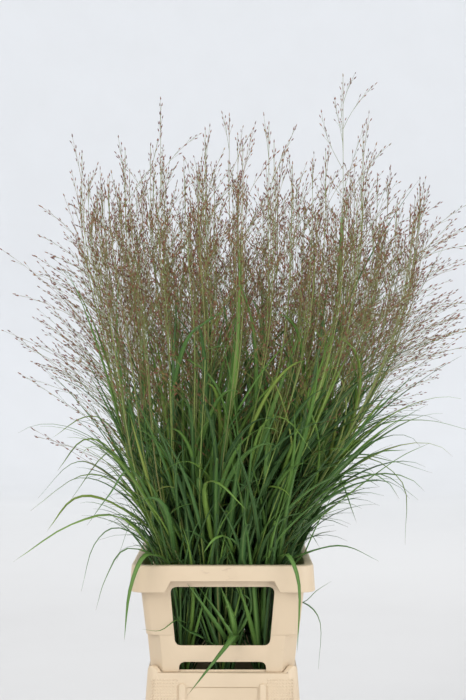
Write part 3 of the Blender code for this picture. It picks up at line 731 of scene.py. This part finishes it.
def draw_collar(finish):
    collar = loft("collar_moulded", collar_rings(), finish, True)
    cut_and_round(collar, side_cutters(True) + side_cutters(False))
    stand_for(collar, "cream_plastic", "collar")


def skirt_face(z):
    """How far the bucket's skirt stands out along Y at height z."""
    slope = (SKIRT_BOTTOM_HALF - SKIRT_TOP_HALF) / (BUCKET_TOP - SKIRT_BOTTOM)
    return SKIRT_TOP_HALF + LONGER_HALF + slope * (BUCKET_TOP - z)


def bucket_rings():
    """The bucket's wall in rings: up its outside, round its skirt and lip, and down its inside."""
    skirt_corner = BODY_CORNER + SKIRT_TOP_HALF - COLLAR_FOOT_HALF
    boss_half = COLLAR_FOOT_HALF + BOSS_BEYOND
    lip_half = COLLAR_FOOT_HALF - WALL - HAIRLINE
    lip_top = BUCKET_TOP + LIP_HEIGHT
    return (
        ring(BASE_HALF - BASE_EDGE, 0.0, BASE_CORNER - BASE_EDGE),
        ring(BASE_HALF, BASE_EDGE, BASE_CORNER),
        ring(WAIST_HALF, SKIRT_BOTTOM, skirt_corner),
        ring(WAIST_HALF, BUCKET_TOP - WALL, skirt_corner),
        ring(SKIRT_TOP_HALF - SKIRT_WALL, BUCKET_TOP - WALL, skirt_corner),
        ring(SKIRT_BOTTOM_HALF - SKIRT_WALL, SKIRT_BOTTOM, skirt_corner),
        ring(SKIRT_BOTTOM_HALF, SKIRT_BOTTOM, skirt_corner),
        ring(SKIRT_TOP_HALF, BUCKET_TOP - SMALL_STEP, skirt_corner, corner_rise=CORNER_BOSS),
        ring(SKIRT_TOP_HALF - SMALL_STEP, BUCKET_TOP, skirt_corner, corner_rise=CORNER_BOSS),
        ring(boss_half, BUCKET_TOP, BOSS_CORNER, True, CORNER_BOSS),
        ring(boss_half - HAIRLINE, BUCKET_TOP, BOSS_CORNER, True),
        ring(lip_half, BUCKET_TOP, POST_CHAMFER, True),
        ring(lip_half, lip_top, POST_CHAMFER, True),
        ring(INSIDE_HALF, lip_top, INSIDE_CORNER, True),
        ring(INSIDE_HALF, SKIRT_BOTTOM, INSIDE_CORNER),
        ring(BASE_HALF - WALL, WALL, BASE_CORNER - WALL),
    )


def draw_bucket(finish):
    bucket = loft("bucket_moulded", bucket_rings(), finish, False)
    panel = rounded_outline(trapezoid(PANEL_HALF, PANEL_HALF, PANEL_BOTTOM, PANEL_TOP), PANEL_CORNER)
    near, far = skirt_face(PANEL_TOP) - PANEL_DEPTH, skirt_face(SKIRT_BOTTOM) + PANEL_PAST_SKIRT
    cut_and_round(bucket, [prism(f"cut_panel_{end}", panel, end * near, end * far, True) for end in (-1, 1)])
    stand_for(bucket, "cream_plastic", "bucket")
    draw_rails(finish)
    draw_dimples(finish)


def draw_rails(finish):
    """The upright rails beside the label panels, on front and back."""
    for (end, face), (side, hand) in product(((-1, "front"), (1, "back")), ((-1, "left"), (1, "right"))):
        near, far = side * RAIL_INSIDE, side * RAIL_OUTSIDE
        corners = ((near, RAIL_BOTTOM), (far, RAIL_BOTTOM), (far, RAIL_TOP), (near, RAIL_TOP))
        outline = rounded_outline(corners, RAIL_CORNER)
        layers = []
        for depth in (-RAIL_SUNK, RAIL_PROUD):
            layers.append([(x, end * (skirt_face(z) + depth), z) for x, z in outline])
        rail = loft(f"label_rail_{face}_{hand}", layers, finish, False)
        cut_and_round(rail, ())
        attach(rail, "root")


def draw_dimples(finish):
    """Rows of low round dimples on the skirt, beside the label panels of front and back."""
    turns = 2 * math.pi * np.arange(DIMPLE_SIDES) / DIMPLE_SIDES
    points = []
    for end, side, row, column in product((-1, 1), (-1, 1), range(DIMPLE_ROWS), range(DIMPLE_COLUMNS)):
        x = side * (DIMPLES_FROM + column * DIMPLE_PITCH)
        z = DIMPLES_LOWEST + row * DIMPLE_PITCH
        for (share, height), turn in product(DIMPLE_RINGS, turns):
            up = z + share * DIMPLE_RADIUS * math.sin(turn)
            points.append((x + share * DIMPLE_RADIUS * math.cos(turn), end * (skirt_face(up) + height), up))
    order = np.arange(len(points)).reshape(-1, len(DIMPLE_RINGS), DIMPLE_SIDES)
    faces = (tube_faces(*order.shape), order[:, -1])
    dimples = mesh_object("dimples", points, faces, finish)
    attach(dimples, "root")


def stand_for(piece, slot, *nodes):
    """Fastens a piece to the model in place of some of its nodes."""
    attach(piece, "root")
    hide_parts(*nodes)


# Layout of the clump, as in the solids


def spread(z):
    """Half widths of the clump along X and Y at height z."""
    if z < RIM:
        return tuple(mix(FOOT_SPREAD[i], RIM_SPREAD[i], z / RIM) for i in (0, 1))
    share = min((z - RIM) / FAN_HEIGHT, 1.0)
    grown = 1.0 - (1.0 - share) ** FAN_POWER
    return tuple(mix(RIM_SPREAD[i], TOP_SPREAD[i], grown) for i in (0, 1))


def lean(z):
    return LEAN * smooth((z - RIM) / LEAN_HEIGHT)


def parcel(column, row):
    """A bunch's parcel of the clump, as its middle and half size in shares of the spread."""
    middle = ((2 * column + 1) / COLUMNS - 1, (2 * row + 1) / ROWS - 1)
    return middle, (1 / COLUMNS, 1 / ROWS)


def parcel_middle(column, row, z):
    middle, _ = parcel(column, row)
    wide, deep = spread(z)
    return Vector((middle[0] * wide + lean(z), middle[1] * deep, z))


def soft_limit(share):
    size = abs(share)
    if size > FREE_SHARE:
        pressed = 1 - FREE_SHARE
        size = FREE_SHARE + pressed * math.tanh((size - FREE_SHARE) / pressed)
    return math.copysign(size, share)


def keep_in_parcel(point, column, row, clearance):
    """Bends a point clear of the neighbouring bunches and, below the rim, of the collar."""
    middle, half = parcel(column, row)
    kept = [point.x - lean(point.z), point.y]
    last = (COLUMNS - 1, ROWS - 1)
    for axis, place in enumerate((column, row)):
        reach = spread(point.z)[axis]
        room = half[axis] * reach - clearance
        offset = kept[axis] - middle[axis] * reach
        outward = (place == last[axis] and offset > 0) or (place == 0 and offset < 0)
        if outward and not is_inside_crate(point):
            continue
        kept[axis] = middle[axis] * reach + room * soft_limit(offset / room)
    return Vector((kept[0] + lean(point.z), kept[1], point.z))


def is_inside_crate(point):
    beyond = BAND_HALF + BESIDE_BAND
    outside = abs(point.x) > beyond or abs(point.y) > beyond + LONGER_HALF
    return point.z < RIM + ABOVE_RIM and not outside


def is_out_of_reach(point):
    left, right, front, back = REACH
    return not (left < point.x < right and front < point.y < back)


def touches_crate(point):
    if not is_inside_crate(point):
        return False
    inner = collar_half(max(point.z, BUCKET_TOP)) - WALL - CRATE_CLEARANCE
    return abs(point.x) > inner or abs(point.y) > inner + LONGER_HALF


# Stems, leaves and panicle branches as routes


class Stem:
    """One culm: where it stands in its bunch and the height that it reaches."""

    def __init__(self, column, row, number):
        self.column, self.row, self.number = column, row, number
        self.seed = SEED + 100_000 * (column * ROWS + row) + 1000 * number
        draw = random.Random(self.seed)
        middle, half = parcel(column, row)
        drawn_only = number >= STEMS
        fill, inward = (DRAWN_FILL, DRAWN_INWARD) if drawn_only else (PARCEL_FILL, 1.0)
        target = []
        for i in (0, 1):
            place = part_of_one(SCATTER_FROM[i] + SCATTER[i] * number) * 2 - 1
            target.append(inward * (middle[i] + fill * half[i] * place))
        self.offset = (
            target[0] * math.sqrt(1 - CORNER_PULL * target[1] ** 2) - middle[0],
            target[1] * math.sqrt(1 - CORNER_PULL * target[0] ** 2) - middle[1],
        )
        self.rim_distance = math.hypot(*target)
        self.leftmost = smooth(-target[0] / LEFT_EDGE)
        turn = GOLDEN_TURN * number
        self.pack = (math.cos(turn), math.sin(turn))
        self.sway = (draw.uniform(-1, 1), draw.uniform(-1, 1))
        tall = TALL_EXTRA if draw.random() < TALL_CHANCE else 0.0
        self.top = CLUMP_TOP + draw.gauss(0, TOP_VARIES) + tall - TOP_DOME * self.rim_distance**2
        if (column, row, number) == TALLEST_STEM:
            self.top = TALLEST_TOP
        self.panicle = self.top - PANICLE_LENGTH * draw.uniform(*PANICLE_VARIES)
        if drawn_only:
            most, least = DRAWN_SHORTER_EDGE
            inner = max(most - self.rim_distance, least)
            shorter = DRAWN_SHORTER * draw.random() * inner + DRAWN_TILT * target[0]
            self.top -= shorter
            self.panicle -= shorter

    def at(self, z):
        """The stem's centre at height z."""
        middle = parcel_middle(self.column, self.row, z)
        opened = smooth((z - TIE_HEIGHT - TIE_HOLD) / (SPREAD_HEIGHT - TIE_HEIGHT))
        bowed = STEM_BOW * smooth((z - RIM) / FAN_HEIGHT)
        splayed = FOOT_SPLAY * smooth((TIE_HEIGHT - SPLAY_BELOW - z) / TIE_HEIGHT)
        packed = PACK_RADIUS * (1 - opened) * (1 + splayed)
        for i, reach in enumerate(spread(z)):
            middle[i] += self.offset[i] * opened * reach + self.pack[i] * packed + self.sway[i] * bowed
        return middle

    def direction(self, z):
        return (self.at(z + 0.005) - self.at(z - 0.005)).normalized()


def side_ways(direction):
    """Two unit vectors square to a direction."""
    first = direction.cross(Vector((0.0, 1.0, 0.0)))
    if first.length < 0.1:
        first = direction.cross(Vector((1.0, 0.0, 0.0)))
    first.normalize()
    return first, direction.cross(first).normalized()


def leaf_path(stem, number, steps):
    """A leaf that the solid has too: its midrib, the way across its blade, and its place on the stem."""
    draw = random.Random(stem.seed + 100 + number)
    share = (number + draw.uniform(*SLOT_MIDDLE)) / LEAVES
    node_z = mix(LEAF_ROOTS[0], stem.panicle - LEAF_ROOTS[1], share)
    length = LEAF_LENGTH * draw.uniform(*LEAF_VARIES) * mix(*LEAF_UPWARD, share)
    outward = math.atan2(stem.at(OUTWARD_AT).y, stem.at(OUTWARD_AT).x)
    edge = smooth((stem.rim_distance - ARCHING_EDGE[0]) / ARCHING_EDGE[1])
    heading = outward + math.pi * ((number + stem.number) % 2) + draw.gauss(0, LEAF_TURNS)
    arching = draw.random() < ARCHING_CHANCE * edge and node_z > RIM - ARCHING_BELOW_RIM
    for attempt in range(LEAF_TRIES):
        angles = drawn_angles(draw, ARCHING_BEND if arching else UPRIGHT_BEND, 1 - attempt / LEAF_TRIES)
        path, level = bent_leaf(stem, node_z, heading, length, angles, steps)
        path = [path[0], *(keep_in_parcel(p, stem.column, stem.row, LEAF_CLEARANCE) for p in path[1:])]
        if not any(touches_crate(p) for p in path):
            break
    return path, level, share


def free_leaf_path(stem, number, steps):
    """A leaf that only the drawn clump has. It may cross other bunches, but not the crate."""
    draw = random.Random(stem.seed + 300 + number)
    share = part_of_one(DRAWN_LEAF_FROM + GOLDEN_SHARE * number + DRAWN_LEAF_SCATTER * stem.number)
    node_z = mix(DRAWN_ROOTS[0], stem.panicle - DRAWN_ROOTS[1], share**DRAWN_ROOTS_POWER)
    length = LEAF_LENGTH * draw.uniform(*DRAWN_LEAF_VARIES) * mix(*DRAWN_LEAF_UPWARD, share)
    length *= 1 - LEFT_LEAF_SHORTER * stem.leftmost
    heading = draw.uniform(0, 2 * math.pi)
    for attempt in range(2 * LEAF_TRIES):
        angles = drawn_angles(draw, DRAWN_LEAF_BEND, 1 - attempt / (2 * LEAF_TRIES))
        path, level = bent_leaf(stem, node_z, heading, length, angles, steps)
        if not any(is_out_of_reach(p) or touches_crate(p) for p in path):
            break
    return path, level, share


def drawn_angles(draw, bend, ease=1.0):
    """Two angles drawn at random from a bend's ranges, eased towards upright."""
    return [math.radians(draw.uniform(*limits)) * ease for limits in bend]


def bent_leaf(stem, node_z, heading, length, angles, steps):
    """A midrib that leaves its stem at one angle and bends over towards its tip."""
    opening, droop = angles
    start = stem.at(node_z)
    level = Vector((math.cos(heading), math.sin(heading), 0.0))
    path, here = [start], start.copy()
    for i in range(steps):
        along = (i + 0.5) / steps
        angle = opening + droop * along**DROOP_POWER
        way = stem.direction(node_z) * math.cos(angle) + level * math.sin(angle)
        here = here + way.normalized() * length / steps
        path.append(here)
    return path, level.cross(Vector((0.0, 0.0, 1.0))).normalized()


def through(points, steps):
    """A smooth curve through a few points, for a leaf whose points are listed."""
    knots = [Vector(p) for p in points]
    knots = [knots[0] * 2 - knots[1], *knots, knots[-1] * 2 - knots[-2]]
    path = []
    for i in range(steps + 1):
        at = i / steps * (len(points) - 1)
        k = min(int(at), len(points) - 2)
        t = at - k
        a, b, c, d = knots[k : k + 4]
        path.append(
            0.5 * (2 * b + (c - a) * t + (2 * a - 5 * b + 4 * c - d) * t**2 + (3 * b - a - 3 * c + d) * t**3)
        )
    return path


def wild_leaf(stem, points, steps, held):
    """A leaf whose points are listed, rooted on a stem. A held one keeps to its bunch's parcel."""
    path = through(points, steps)
    root = stem.at(path[0].z)
    path = [p + (root - path[0]) * (1 - i / steps) ** 3 for i, p in enumerate(path)]
    if held:
        path = [root, *(keep_in_parcel(p, stem.column, stem.row, LEAF_CLEARANCE) for p in path[1:])]
    level = Vector((path[-1].x - root.x, path[-1].y - root.y, 0.0)).normalized()
    return path, level.cross(Vector((0.0, 0.0, 1.0)))


def curving_branch(here, way_up, level, angles, length, steps):
    """A branch that leaves its stem at one angle and goes on turning out by another."""
    opening, spread_out = angles
    path = [here]
    for i in range(steps):
        angle = opening + spread_out * (i + 0.5) / steps
        here = here + (way_up * math.cos(angle) + level * math.sin(angle)) * length / steps
        path.append(here)
    return path


def branch_path(stem, number, steps):
    """The route of one panicle branch, and its length."""
    draw = random.Random(stem.seed + 500 + number)
    share = part_of_one(BRANCHES_FROM + GOLDEN_SHARE * number) * BRANCHES_OVER
    turned = draw.uniform(-BRANCH_TURNS, BRANCH_TURNS)
    heading = 2 * math.pi * part_of_one(SCATTER[0] * number) + turned
    length = mix(*BRANCH_LENGTHS, share) * draw.uniform(*BRANCH_VARIES)
    opening, spread_out = drawn_angles(draw, BRANCH_BEND if number < BRANCHES else DRAWN_BRANCH_BEND)
    z = mix(stem.panicle, stem.top, share)
    root, way_up = stem.at(z), stem.direction(z)
    first, second = side_ways(way_up)
    level = first * math.cos(heading) + second * math.sin(heading)
    if number >= BRANCHES:
        outward = max(level.dot(Vector((root.x, root.y, 0.0)).normalized()), 0.0)
        outward *= smooth((stem.rim_distance - SPRAY_EDGE[0]) / SPRAY_EDGE[1])
        opening += mix(*SPRAY_OPENING, share) * outward
        length *= 1 + SPRAY_LONGER * outward
    path = curving_branch(root, way_up, level, (opening, spread_out), length, steps)
    while is_out_of_reach(path[-1]):
        length *= BRANCH_SHORTENED
        path = curving_branch(root, way_up, level, (opening, spread_out), length, steps)
    if stem.number < STEMS and number < BRANCHES:
        path[1:] = [keep_in_parcel(p, stem.column, stem.row, BRANCH_CLEARANCE) for p in path[1:]]
    return path, length


# Many rods, blades and spikelets at once


def tube_faces(count, steps, sides):
    first = np.arange(count)[:, None, None] * steps * sides
    low = first + np.arange(steps - 1)[None, :, None] * sides
    side = np.arange(sides)[None, None, :]
    after = (side + 1) % sides
    corners = (low + side, low + after, low + sides + after, low + sides + side)
    return np.stack(np.broadcast_arrays(*corners), -1).reshape(-1, 4)


def rods(paths, radii, sides):
    """Round rods along paths of equal step counts: points, faces and each point's share of the way."""
    count, steps = paths.shape[:2]
    ahead = unit(np.gradient(paths, axis=1))
    aside = unit(np.cross(ahead, (0.31, 0.95, 0.02)))
    upward = np.cross(ahead, aside)
    turns = 2 * math.pi * np.arange(sides) / sides
    out = aside[:, :, None] * np.cos(turns)[:, None] + upward[:, :, None] * np.sin(turns)[:, None]
    points = paths[:, :, None] + out * radii[:, :, None, None]
    along = np.broadcast_to(np.linspace(0, 1, steps)[None, :, None], points.shape[:3])
    return points.reshape(-1, 3), tube_faces(count, steps, sides), along.reshape(-1)


def leaf_shape(share):
    """A leaf's width along its length, as a share of its widest."""
    return smooth(BLADE_FOOT + BLADE_WIDENS * share) * (1 - share**BLADE_TAPERS)


def blades(paths, levels, widths, draw):
    """Folded, slightly twisted leaf blades: points, faces, and the shares along and across."""
    count, steps = paths.shape[:2]
    shares = np.linspace(0, 1, steps)
    ahead = unit(np.gradient(paths, axis=1))
    flat = unit(levels[:, None] - ahead * np.sum(levels[:, None] * ahead, -1, keepdims=True))
    upper = np.cross(flat, ahead)
    twist = draw.normal(0, BLADE_TWIST, (count, 1)) * shares[None] ** 1.2
    cos, sin = np.cos(twist)[..., None], np.sin(twist)[..., None]
    flat, upper = flat * cos + upper * sin, upper * cos - flat * sin
    half = widths[:, None] / 2 * leaf_shape(shares)[None]
    fold = half * mix(*BLADE_FOLD, shares)[None]
    thick = BLADE_THICKNESS * (0.3 + leaf_shape(shares))[None]
    rim = []
    for across, lift, above in BLADE_SECTION:
        waves = np.sin(2 * math.pi * (BLADE_RIPPLES * shares[None] + draw.uniform(0, 1, (count, 1))))
        up = fold * lift + thick * above + BLADE_RIPPLE * across * half * waves
        rim.append(paths + flat * (half * across)[..., None] + upper * up[..., None])
    points = np.stack(rim, 2)
    along = np.broadcast_to(shares[None, :, None], points.shape[:3])
    across = np.broadcast_to(np.array([one[0] for one in BLADE_SECTION]), points.shape[:3])
    faces = tube_faces(count, steps, len(BLADE_SECTION))
    return points.reshape(-1, 3), faces, along.reshape(-1), across.reshape(-1)


def spindles(bases, ways, lengths, radii, sides):
    """Pointed spikelets: points, quads, triangles and each point's share of the length."""
    count = len(bases)
    aside = unit(np.cross(ways, (0.31, 0.02, 0.95)))
    upward = np.cross(ways, aside)
    turns = 2 * math.pi * np.arange(sides) / sides
    out = aside[:, None] * np.cos(turns)[:, None] + upward[:, None] * np.sin(turns)[:, None]
    parts, along = [bases[:, None]], [0.0]
    for share, girth in SPIKELET_RINGS:
        middle = bases + ways * (lengths * share)[:, None]
        parts.append(middle[:, None] + out * (radii * girth)[:, None, None])
        along += [share] * sides
    parts.append((bases + ways * lengths[:, None])[:, None])
    points = np.concatenate(parts, 1)
    each = points.shape[1]
    foot = np.arange(count)[:, None] * each
    low = foot + 1 + np.arange(sides)[None]
    after = foot + 1 + (np.arange(sides)[None] + 1) % sides
    quads = np.stack((low, after, after + sides, low + sides), -1)
    below = np.stack(np.broadcast_arrays(foot, after, low), -1)
    above = np.stack(np.broadcast_arrays(foot + each - 1, low + sides, after + sides), -1)
    triangles = np.concatenate((below.reshape(-1, 3), above.reshape(-1, 3)))
    return points.reshape(-1, 3), quads.reshape(-1, 4), triangles, np.tile(along + [1.0], count)


def on_routes(routes, shares):
    """Points and headings at shares of the way along each route."""
    count, steps = routes.shape[:2]
    at = shares * (steps - 1)
    low = np.minimum(at.astype(int), steps - 2)
    part = (at - low)[..., None]
    rows = np.arange(count)[:, None]
    here, after = routes[rows, low], routes[rows, low + 1]
    return here * (1 - part) + after * part, unit(after - here)


def tilted(ways, turns, angles):
    """Each heading turned away from itself by an angle, to the side that turns says."""
    aside = unit(np.cross(ways, (0.31, 0.02, 0.95)))
    upward = np.cross(ways, aside)
    sideways = aside * np.cos(turns)[..., None] + upward * np.sin(turns)[..., None]
    return ways * np.cos(angles)[..., None] + sideways * np.sin(angles)[..., None]


def branchlets(routes, lengths, draw):
    """Short side stalks, pressed close to the outer part of the branches, as routes of two points."""
    count = len(routes)
    slots = np.arange(BRANCHLETS)[None]
    places = (slots + draw.uniform(*SLOT_MIDDLE, (count, BRANCHLETS))) / BRANCHLETS
    shares = BRANCHLETS_FROM + BRANCHLETS_OVER * places
    wanted = slots < np.round(lengths / BRANCHLET_SPACING)[:, None]
    bases, ways = on_routes(routes, shares)
    turns = GOLDEN_TURN * slots + draw.uniform(0, 2 * math.pi, (count, 1))
    reach = (1 - shares) * BRANCHLET_TAPER * lengths[:, None] + draw.uniform(*BRANCHLET_LENGTH, shares.shape)
    heading = tilted(ways, turns, draw.uniform(*BRANCHLET_TILT, shares.shape))
    paths = np.stack((bases, bases + heading * reach[..., None]), 2)
    return paths[wanted]


def spikelets(routes, side_routes, draw):
    """Where spikelets sit and how they point: one at the end of each branch and each side stalk."""
    before, bases = (np.concatenate((routes[:, at], side_routes[:, at])) for at in (-2, -1))
    turns = draw.uniform(0, 2 * math.pi, len(bases))
    return bases, tilted(unit(bases - before), turns, draw.uniform(*SPIKELET_TILT, len(bases)))


# One drawn bunch


def draw_leaves(name, stems, draw, finish):
    """All the leaf blades of a bunch: those of its solid, more of the kind, and those listed one by one."""
    leaves = []
    for stem, number in product(stems, range(LEAVES_DRAWN)):
        drawn_only = stem.number >= STEMS or number >= LEAVES
        path, level, share = (free_leaf_path if drawn_only else leaf_path)(stem, number, LEAF_STEPS)
        width = mix(LOW_LEAF_WIDTH, HIGH_LEAF_WIDTH, share) * draw.uniform(*LEAF_WIDTH_VARIES)
        width *= 1 - LEFT_LEAF_NARROWER * stem.leftmost
        leaves.append((path, level, width, draw.normal(mix(*LEAF_TONES, share), LEAF_TONE_VARIES)))
    here = [stems[0].column, stems[0].row]
    placed = [(points, HELD_LEAF_WIDTH, True) for *home, points in WILD_LEAVES if home == here]
    placed += [(points, width / 1000, False) for *home, width, points in EXTRA_LEAVES if home == here]
    for points, width, held in placed:
        points = [tuple(value / 1000 for value in point) for point in points]
        nearest = min(stems[:STEMS], key=lambda s: (s.at(points[0][2]) - Vector(points[0])).length)
        path, level = wild_leaf(nearest, points, LEAF_STEPS, held)
        brightest = PLACED_RISING if points[-1][2] > RIM else PLACED_HANGING
        width *= draw.uniform(*PLACED_WIDTH_VARIES)
        leaves.append((path, level, width, draw.uniform(PLACED_TONE, brightest)))
    paths, levels, widths, tones = zip(*leaves)
    points, quads, along, across = blades(np.array(paths), np.array(levels), np.array(widths), draw)
    tone = np.repeat(np.clip(tones, 0, 1), (LEAF_STEPS + 1) * len(BLADE_SECTION))
    return mesh_object(name, points, (quads,), finish, {"tone": tone, "along": along, "across": across})


def draw_culms(name, stems, draw, finish):
    steps, shares = range(CULM_STEPS + 1), np.linspace(0, 1, CULM_STEPS + 1)
    paths = np.array([[stem.at(mix(FOOT_Z, stem.top, i / CULM_STEPS)) for i in steps] for stem in stems])
    taper = mix(1.0, CULM_TIP, smooth((shares - CULM_TAPER_FROM) / CULM_TAPER_OVER))
    radii = CULM_RADIUS * taper[None] * draw.uniform(*CULM_VARIES, (len(stems), 1))
    points, quads, along = rods(paths, radii, CULM_SIDES)
    tone = np.repeat(draw.random(len(stems)), (CULM_STEPS + 1) * CULM_SIDES)
    return mesh_object(name, points, (quads,), finish, {"tone": tone, "along": along})


def draw_panicles(name, stems, draw, stalks, husks):
    """The stalks of a bunch's panicles in one piece, and their spikelets in another."""
    routes, lengths = [], []
    for stem in stems:
        for number in range(BRANCHES_DRAWN):
            path, length = branch_path(stem, number, BRANCH_STEPS)
            routes.append(path)
            lengths.append(length)
        leader = (stem.top - LEADER_LENGTH, stem.top)
        routes.append([stem.at(mix(*leader, i / BRANCH_STEPS)) for i in range(BRANCH_STEPS + 1)])
        lengths.append(LEADER_LENGTH)
    routes, lengths = np.array(routes), np.array(lengths)
    side_routes = branchlets(routes, lengths, draw)
    radii = STALK_RADIUS * np.linspace(*BRANCH_GIRTHS, BRANCH_STEPS + 1)[None]
    points, quads, _ = rods(routes, radii, STALK_SIDES)
    radii = STALK_RADIUS * np.array([BRANCHLET_GIRTHS])
    side_points, side_quads, _ = rods(side_routes, radii, STALK_SIDES)
    points_a_stem = (BRANCHES_DRAWN + 1) * (BRANCH_STEPS + 1) * STALK_SIDES
    tone = np.repeat(draw.random(len(stems)), points_a_stem)
    side_tone = np.repeat(draw.random(len(side_routes)), 2 * STALK_SIDES)
    faces = np.concatenate((quads, side_quads + len(points)))
    points = np.concatenate((points, side_points))
    values = {"tone": np.concatenate((tone, side_tone))}
    stalk_piece = mesh_object(name + "_stalks", points, (faces,), stalks, values)
    bases, ways = spikelets(routes, side_routes, draw)
    long = SPIKELET_LENGTH * draw.uniform(*SPIKELET_LENGTH_VARIES, len(bases))
    thick = SPIKELET_RADIUS * draw.uniform(*SPIKELET_RADIUS_VARIES, len(bases))
    points, quads, triangles, along = spindles(bases, ways, long, thick, SPIKELET_SIDES)
    tones = np.clip(draw.normal(SPIKELET_TONE, SPIKELET_TONE_VARIES, len(bases)), 0, 1)
    values = {"tone": np.repeat(tones, 2 + 2 * SPIKELET_SIDES), "along": along}
    return stalk_piece, mesh_object(name + "_spikelets", points, (quads, triangles), husks, values)


def draw_bunch(column, row, leaf, culm, stalk, husk):
    """The leaves, culms, stalks and spikelets that stand for one bunch."""
    node = f"bunch_{column + 1}_{row + 1}"
    draw = np.random.default_rng(SEED + column * ROWS + row)
    stems = [Stem(column, row, number) for number in range(STEMS_DRAWN)]
    pieces = [
        draw_leaves(node + "_leaves", stems, draw, leaf),
        draw_culms(node + "_culms", stems, draw, culm),
        *draw_panicles(node, stems, draw, stalk, husk),
    ]
    for piece in pieces:
        stand_for(piece, "grass", node)


# Camera, light and backdrop


def add_camera():
    lens = bpy.data.cameras.new("camera")
    lens.lens = CAMERA_LENS
    camera = as_object("camera", lens)
    camera.location = CAMERA_PLACE
    camera.rotation_euler = (math.pi / 2 + CAMERA_TILT, 0.0, 0.0)
    bpy.context.scene.camera = camera


def add_light(name, place, target, size, power, colour):
    light = bpy.data.lights.new(name, "AREA")
    light.shape = "DISK"
    light.size = size
    light.energy = power
    light.color = colour
    lamp = as_object(name, light)
    lamp.location = place
    lamp.rotation_euler = (Vector(target) - Vector(place)).to_track_quat("-Z", "Y").to_euler()
    lamp.visible_camera = False


def add_lights():
    add_light("key_light", (-2.6, -2.5, 2.5), (0, 0, 0.7), 2.2, 54, (1.0, 0.98, 0.95))
    add_light("fill_light", (2.6, -2.5, 0.8), (0, 0, 0.4), 2.4, 58, (0.97, 0.98, 1.0))
    add_light("back_light", (0.6, 3.0, 3.2), (0, 0, 0.9), 2.2, 30, (1.0, 1.0, 1.0))
    world = bpy.data.worlds.new("studio")
    world.use_nodes = True
    sky = world.node_tree.nodes["Background"]
    sky.inputs["Color"].default_value = (0.96, 0.98, 1.0, 1.0)
    sky.inputs["Strength"].default_value = 1.12
    bpy.context.scene.world = world
    bpy.context.scene.view_settings.view_transform = "Standard"


def add_backdrop():
    """A pale floor that curves up into a round wall, far enough away to be behind every view. The floor
    carries painted shade: it is darker towards the middle, round the clump.
    """
    radius, fillet, height, sides = 8.0, 1.6, 4.8, 96
    profile = [(0.0, 0.0), (2.0, 0.0), (radius - fillet, 0.0)]
    for i in range(1, 13):
        turn = math.pi / 2 * i / 12
        profile.append((radius - fillet + fillet * math.sin(turn), fillet * (1 - math.cos(turn))))
    profile.append((radius, height))
    turns = 2 * math.pi * np.arange(sides) / sides
    points = [(0.0, 0.0, -FIT_GAP)]
    points += [(r * math.cos(t), r * math.sin(t), z - FIT_GAP) for r, z in profile[1:] for t in turns]
    middle = np.array([(0, 1 + k, 1 + (k + 1) % sides) for k in range(sides)])
    quads = tube_faces(1, len(profile) - 1, sides)[:, ::-1] + 1
    finish = Finish("backdrop_paper", roughness=0.85)
    distance = finish.add("VectorMath", operation="LENGTH")
    finish.link(finish.place(), distance.inputs[0])
    share = finish.maths("MULTIPLY", distance.outputs["Value"], 1 / radius)
    # Painted shade: darker and warmer near the middle of the floor, round the clump, paler out towards the
    # wall.
    tint_with_painted_shade = finish.ramp(
        share, (0.25, (0.6, 0.592, 0.588)), (0.7, (0.83, 0.828, 0.826)), (1.0, (0.83, 0.84, 0.86))
    )
    grain = finish.noise(finish.place(), 3.0)
    finish.colour(finish.blend(finish.ramp(grain, (0.3, 0.0), (0.7, 0.12)), tint_with_painted_shade, (0.7, 0.7, 0.7)))
    backdrop = mesh_object("backdrop", points, (quads, middle), finish.material)


def main():
    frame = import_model()
    add_camera()
    add_lights()
    add_backdrop()
    plastic = plastic_finish()
    draw_collar(plastic)
    draw_bucket(plastic)
    water, elastic = water_finish(), elastic_finish()
    for name, node in frame["nodes"].items():
        if name == "water" or name.startswith("tie_"):
            node.data.materials.clear()
            node.data.materials.append(water if name == "water" else elastic)
    finishes = (leaf_finish(), culm_finish(), stalk_finish(), spikelet_finish())
    for column, row in product(range(COLUMNS), range(ROWS)):
        draw_bunch(column, row, *finishes)


main()
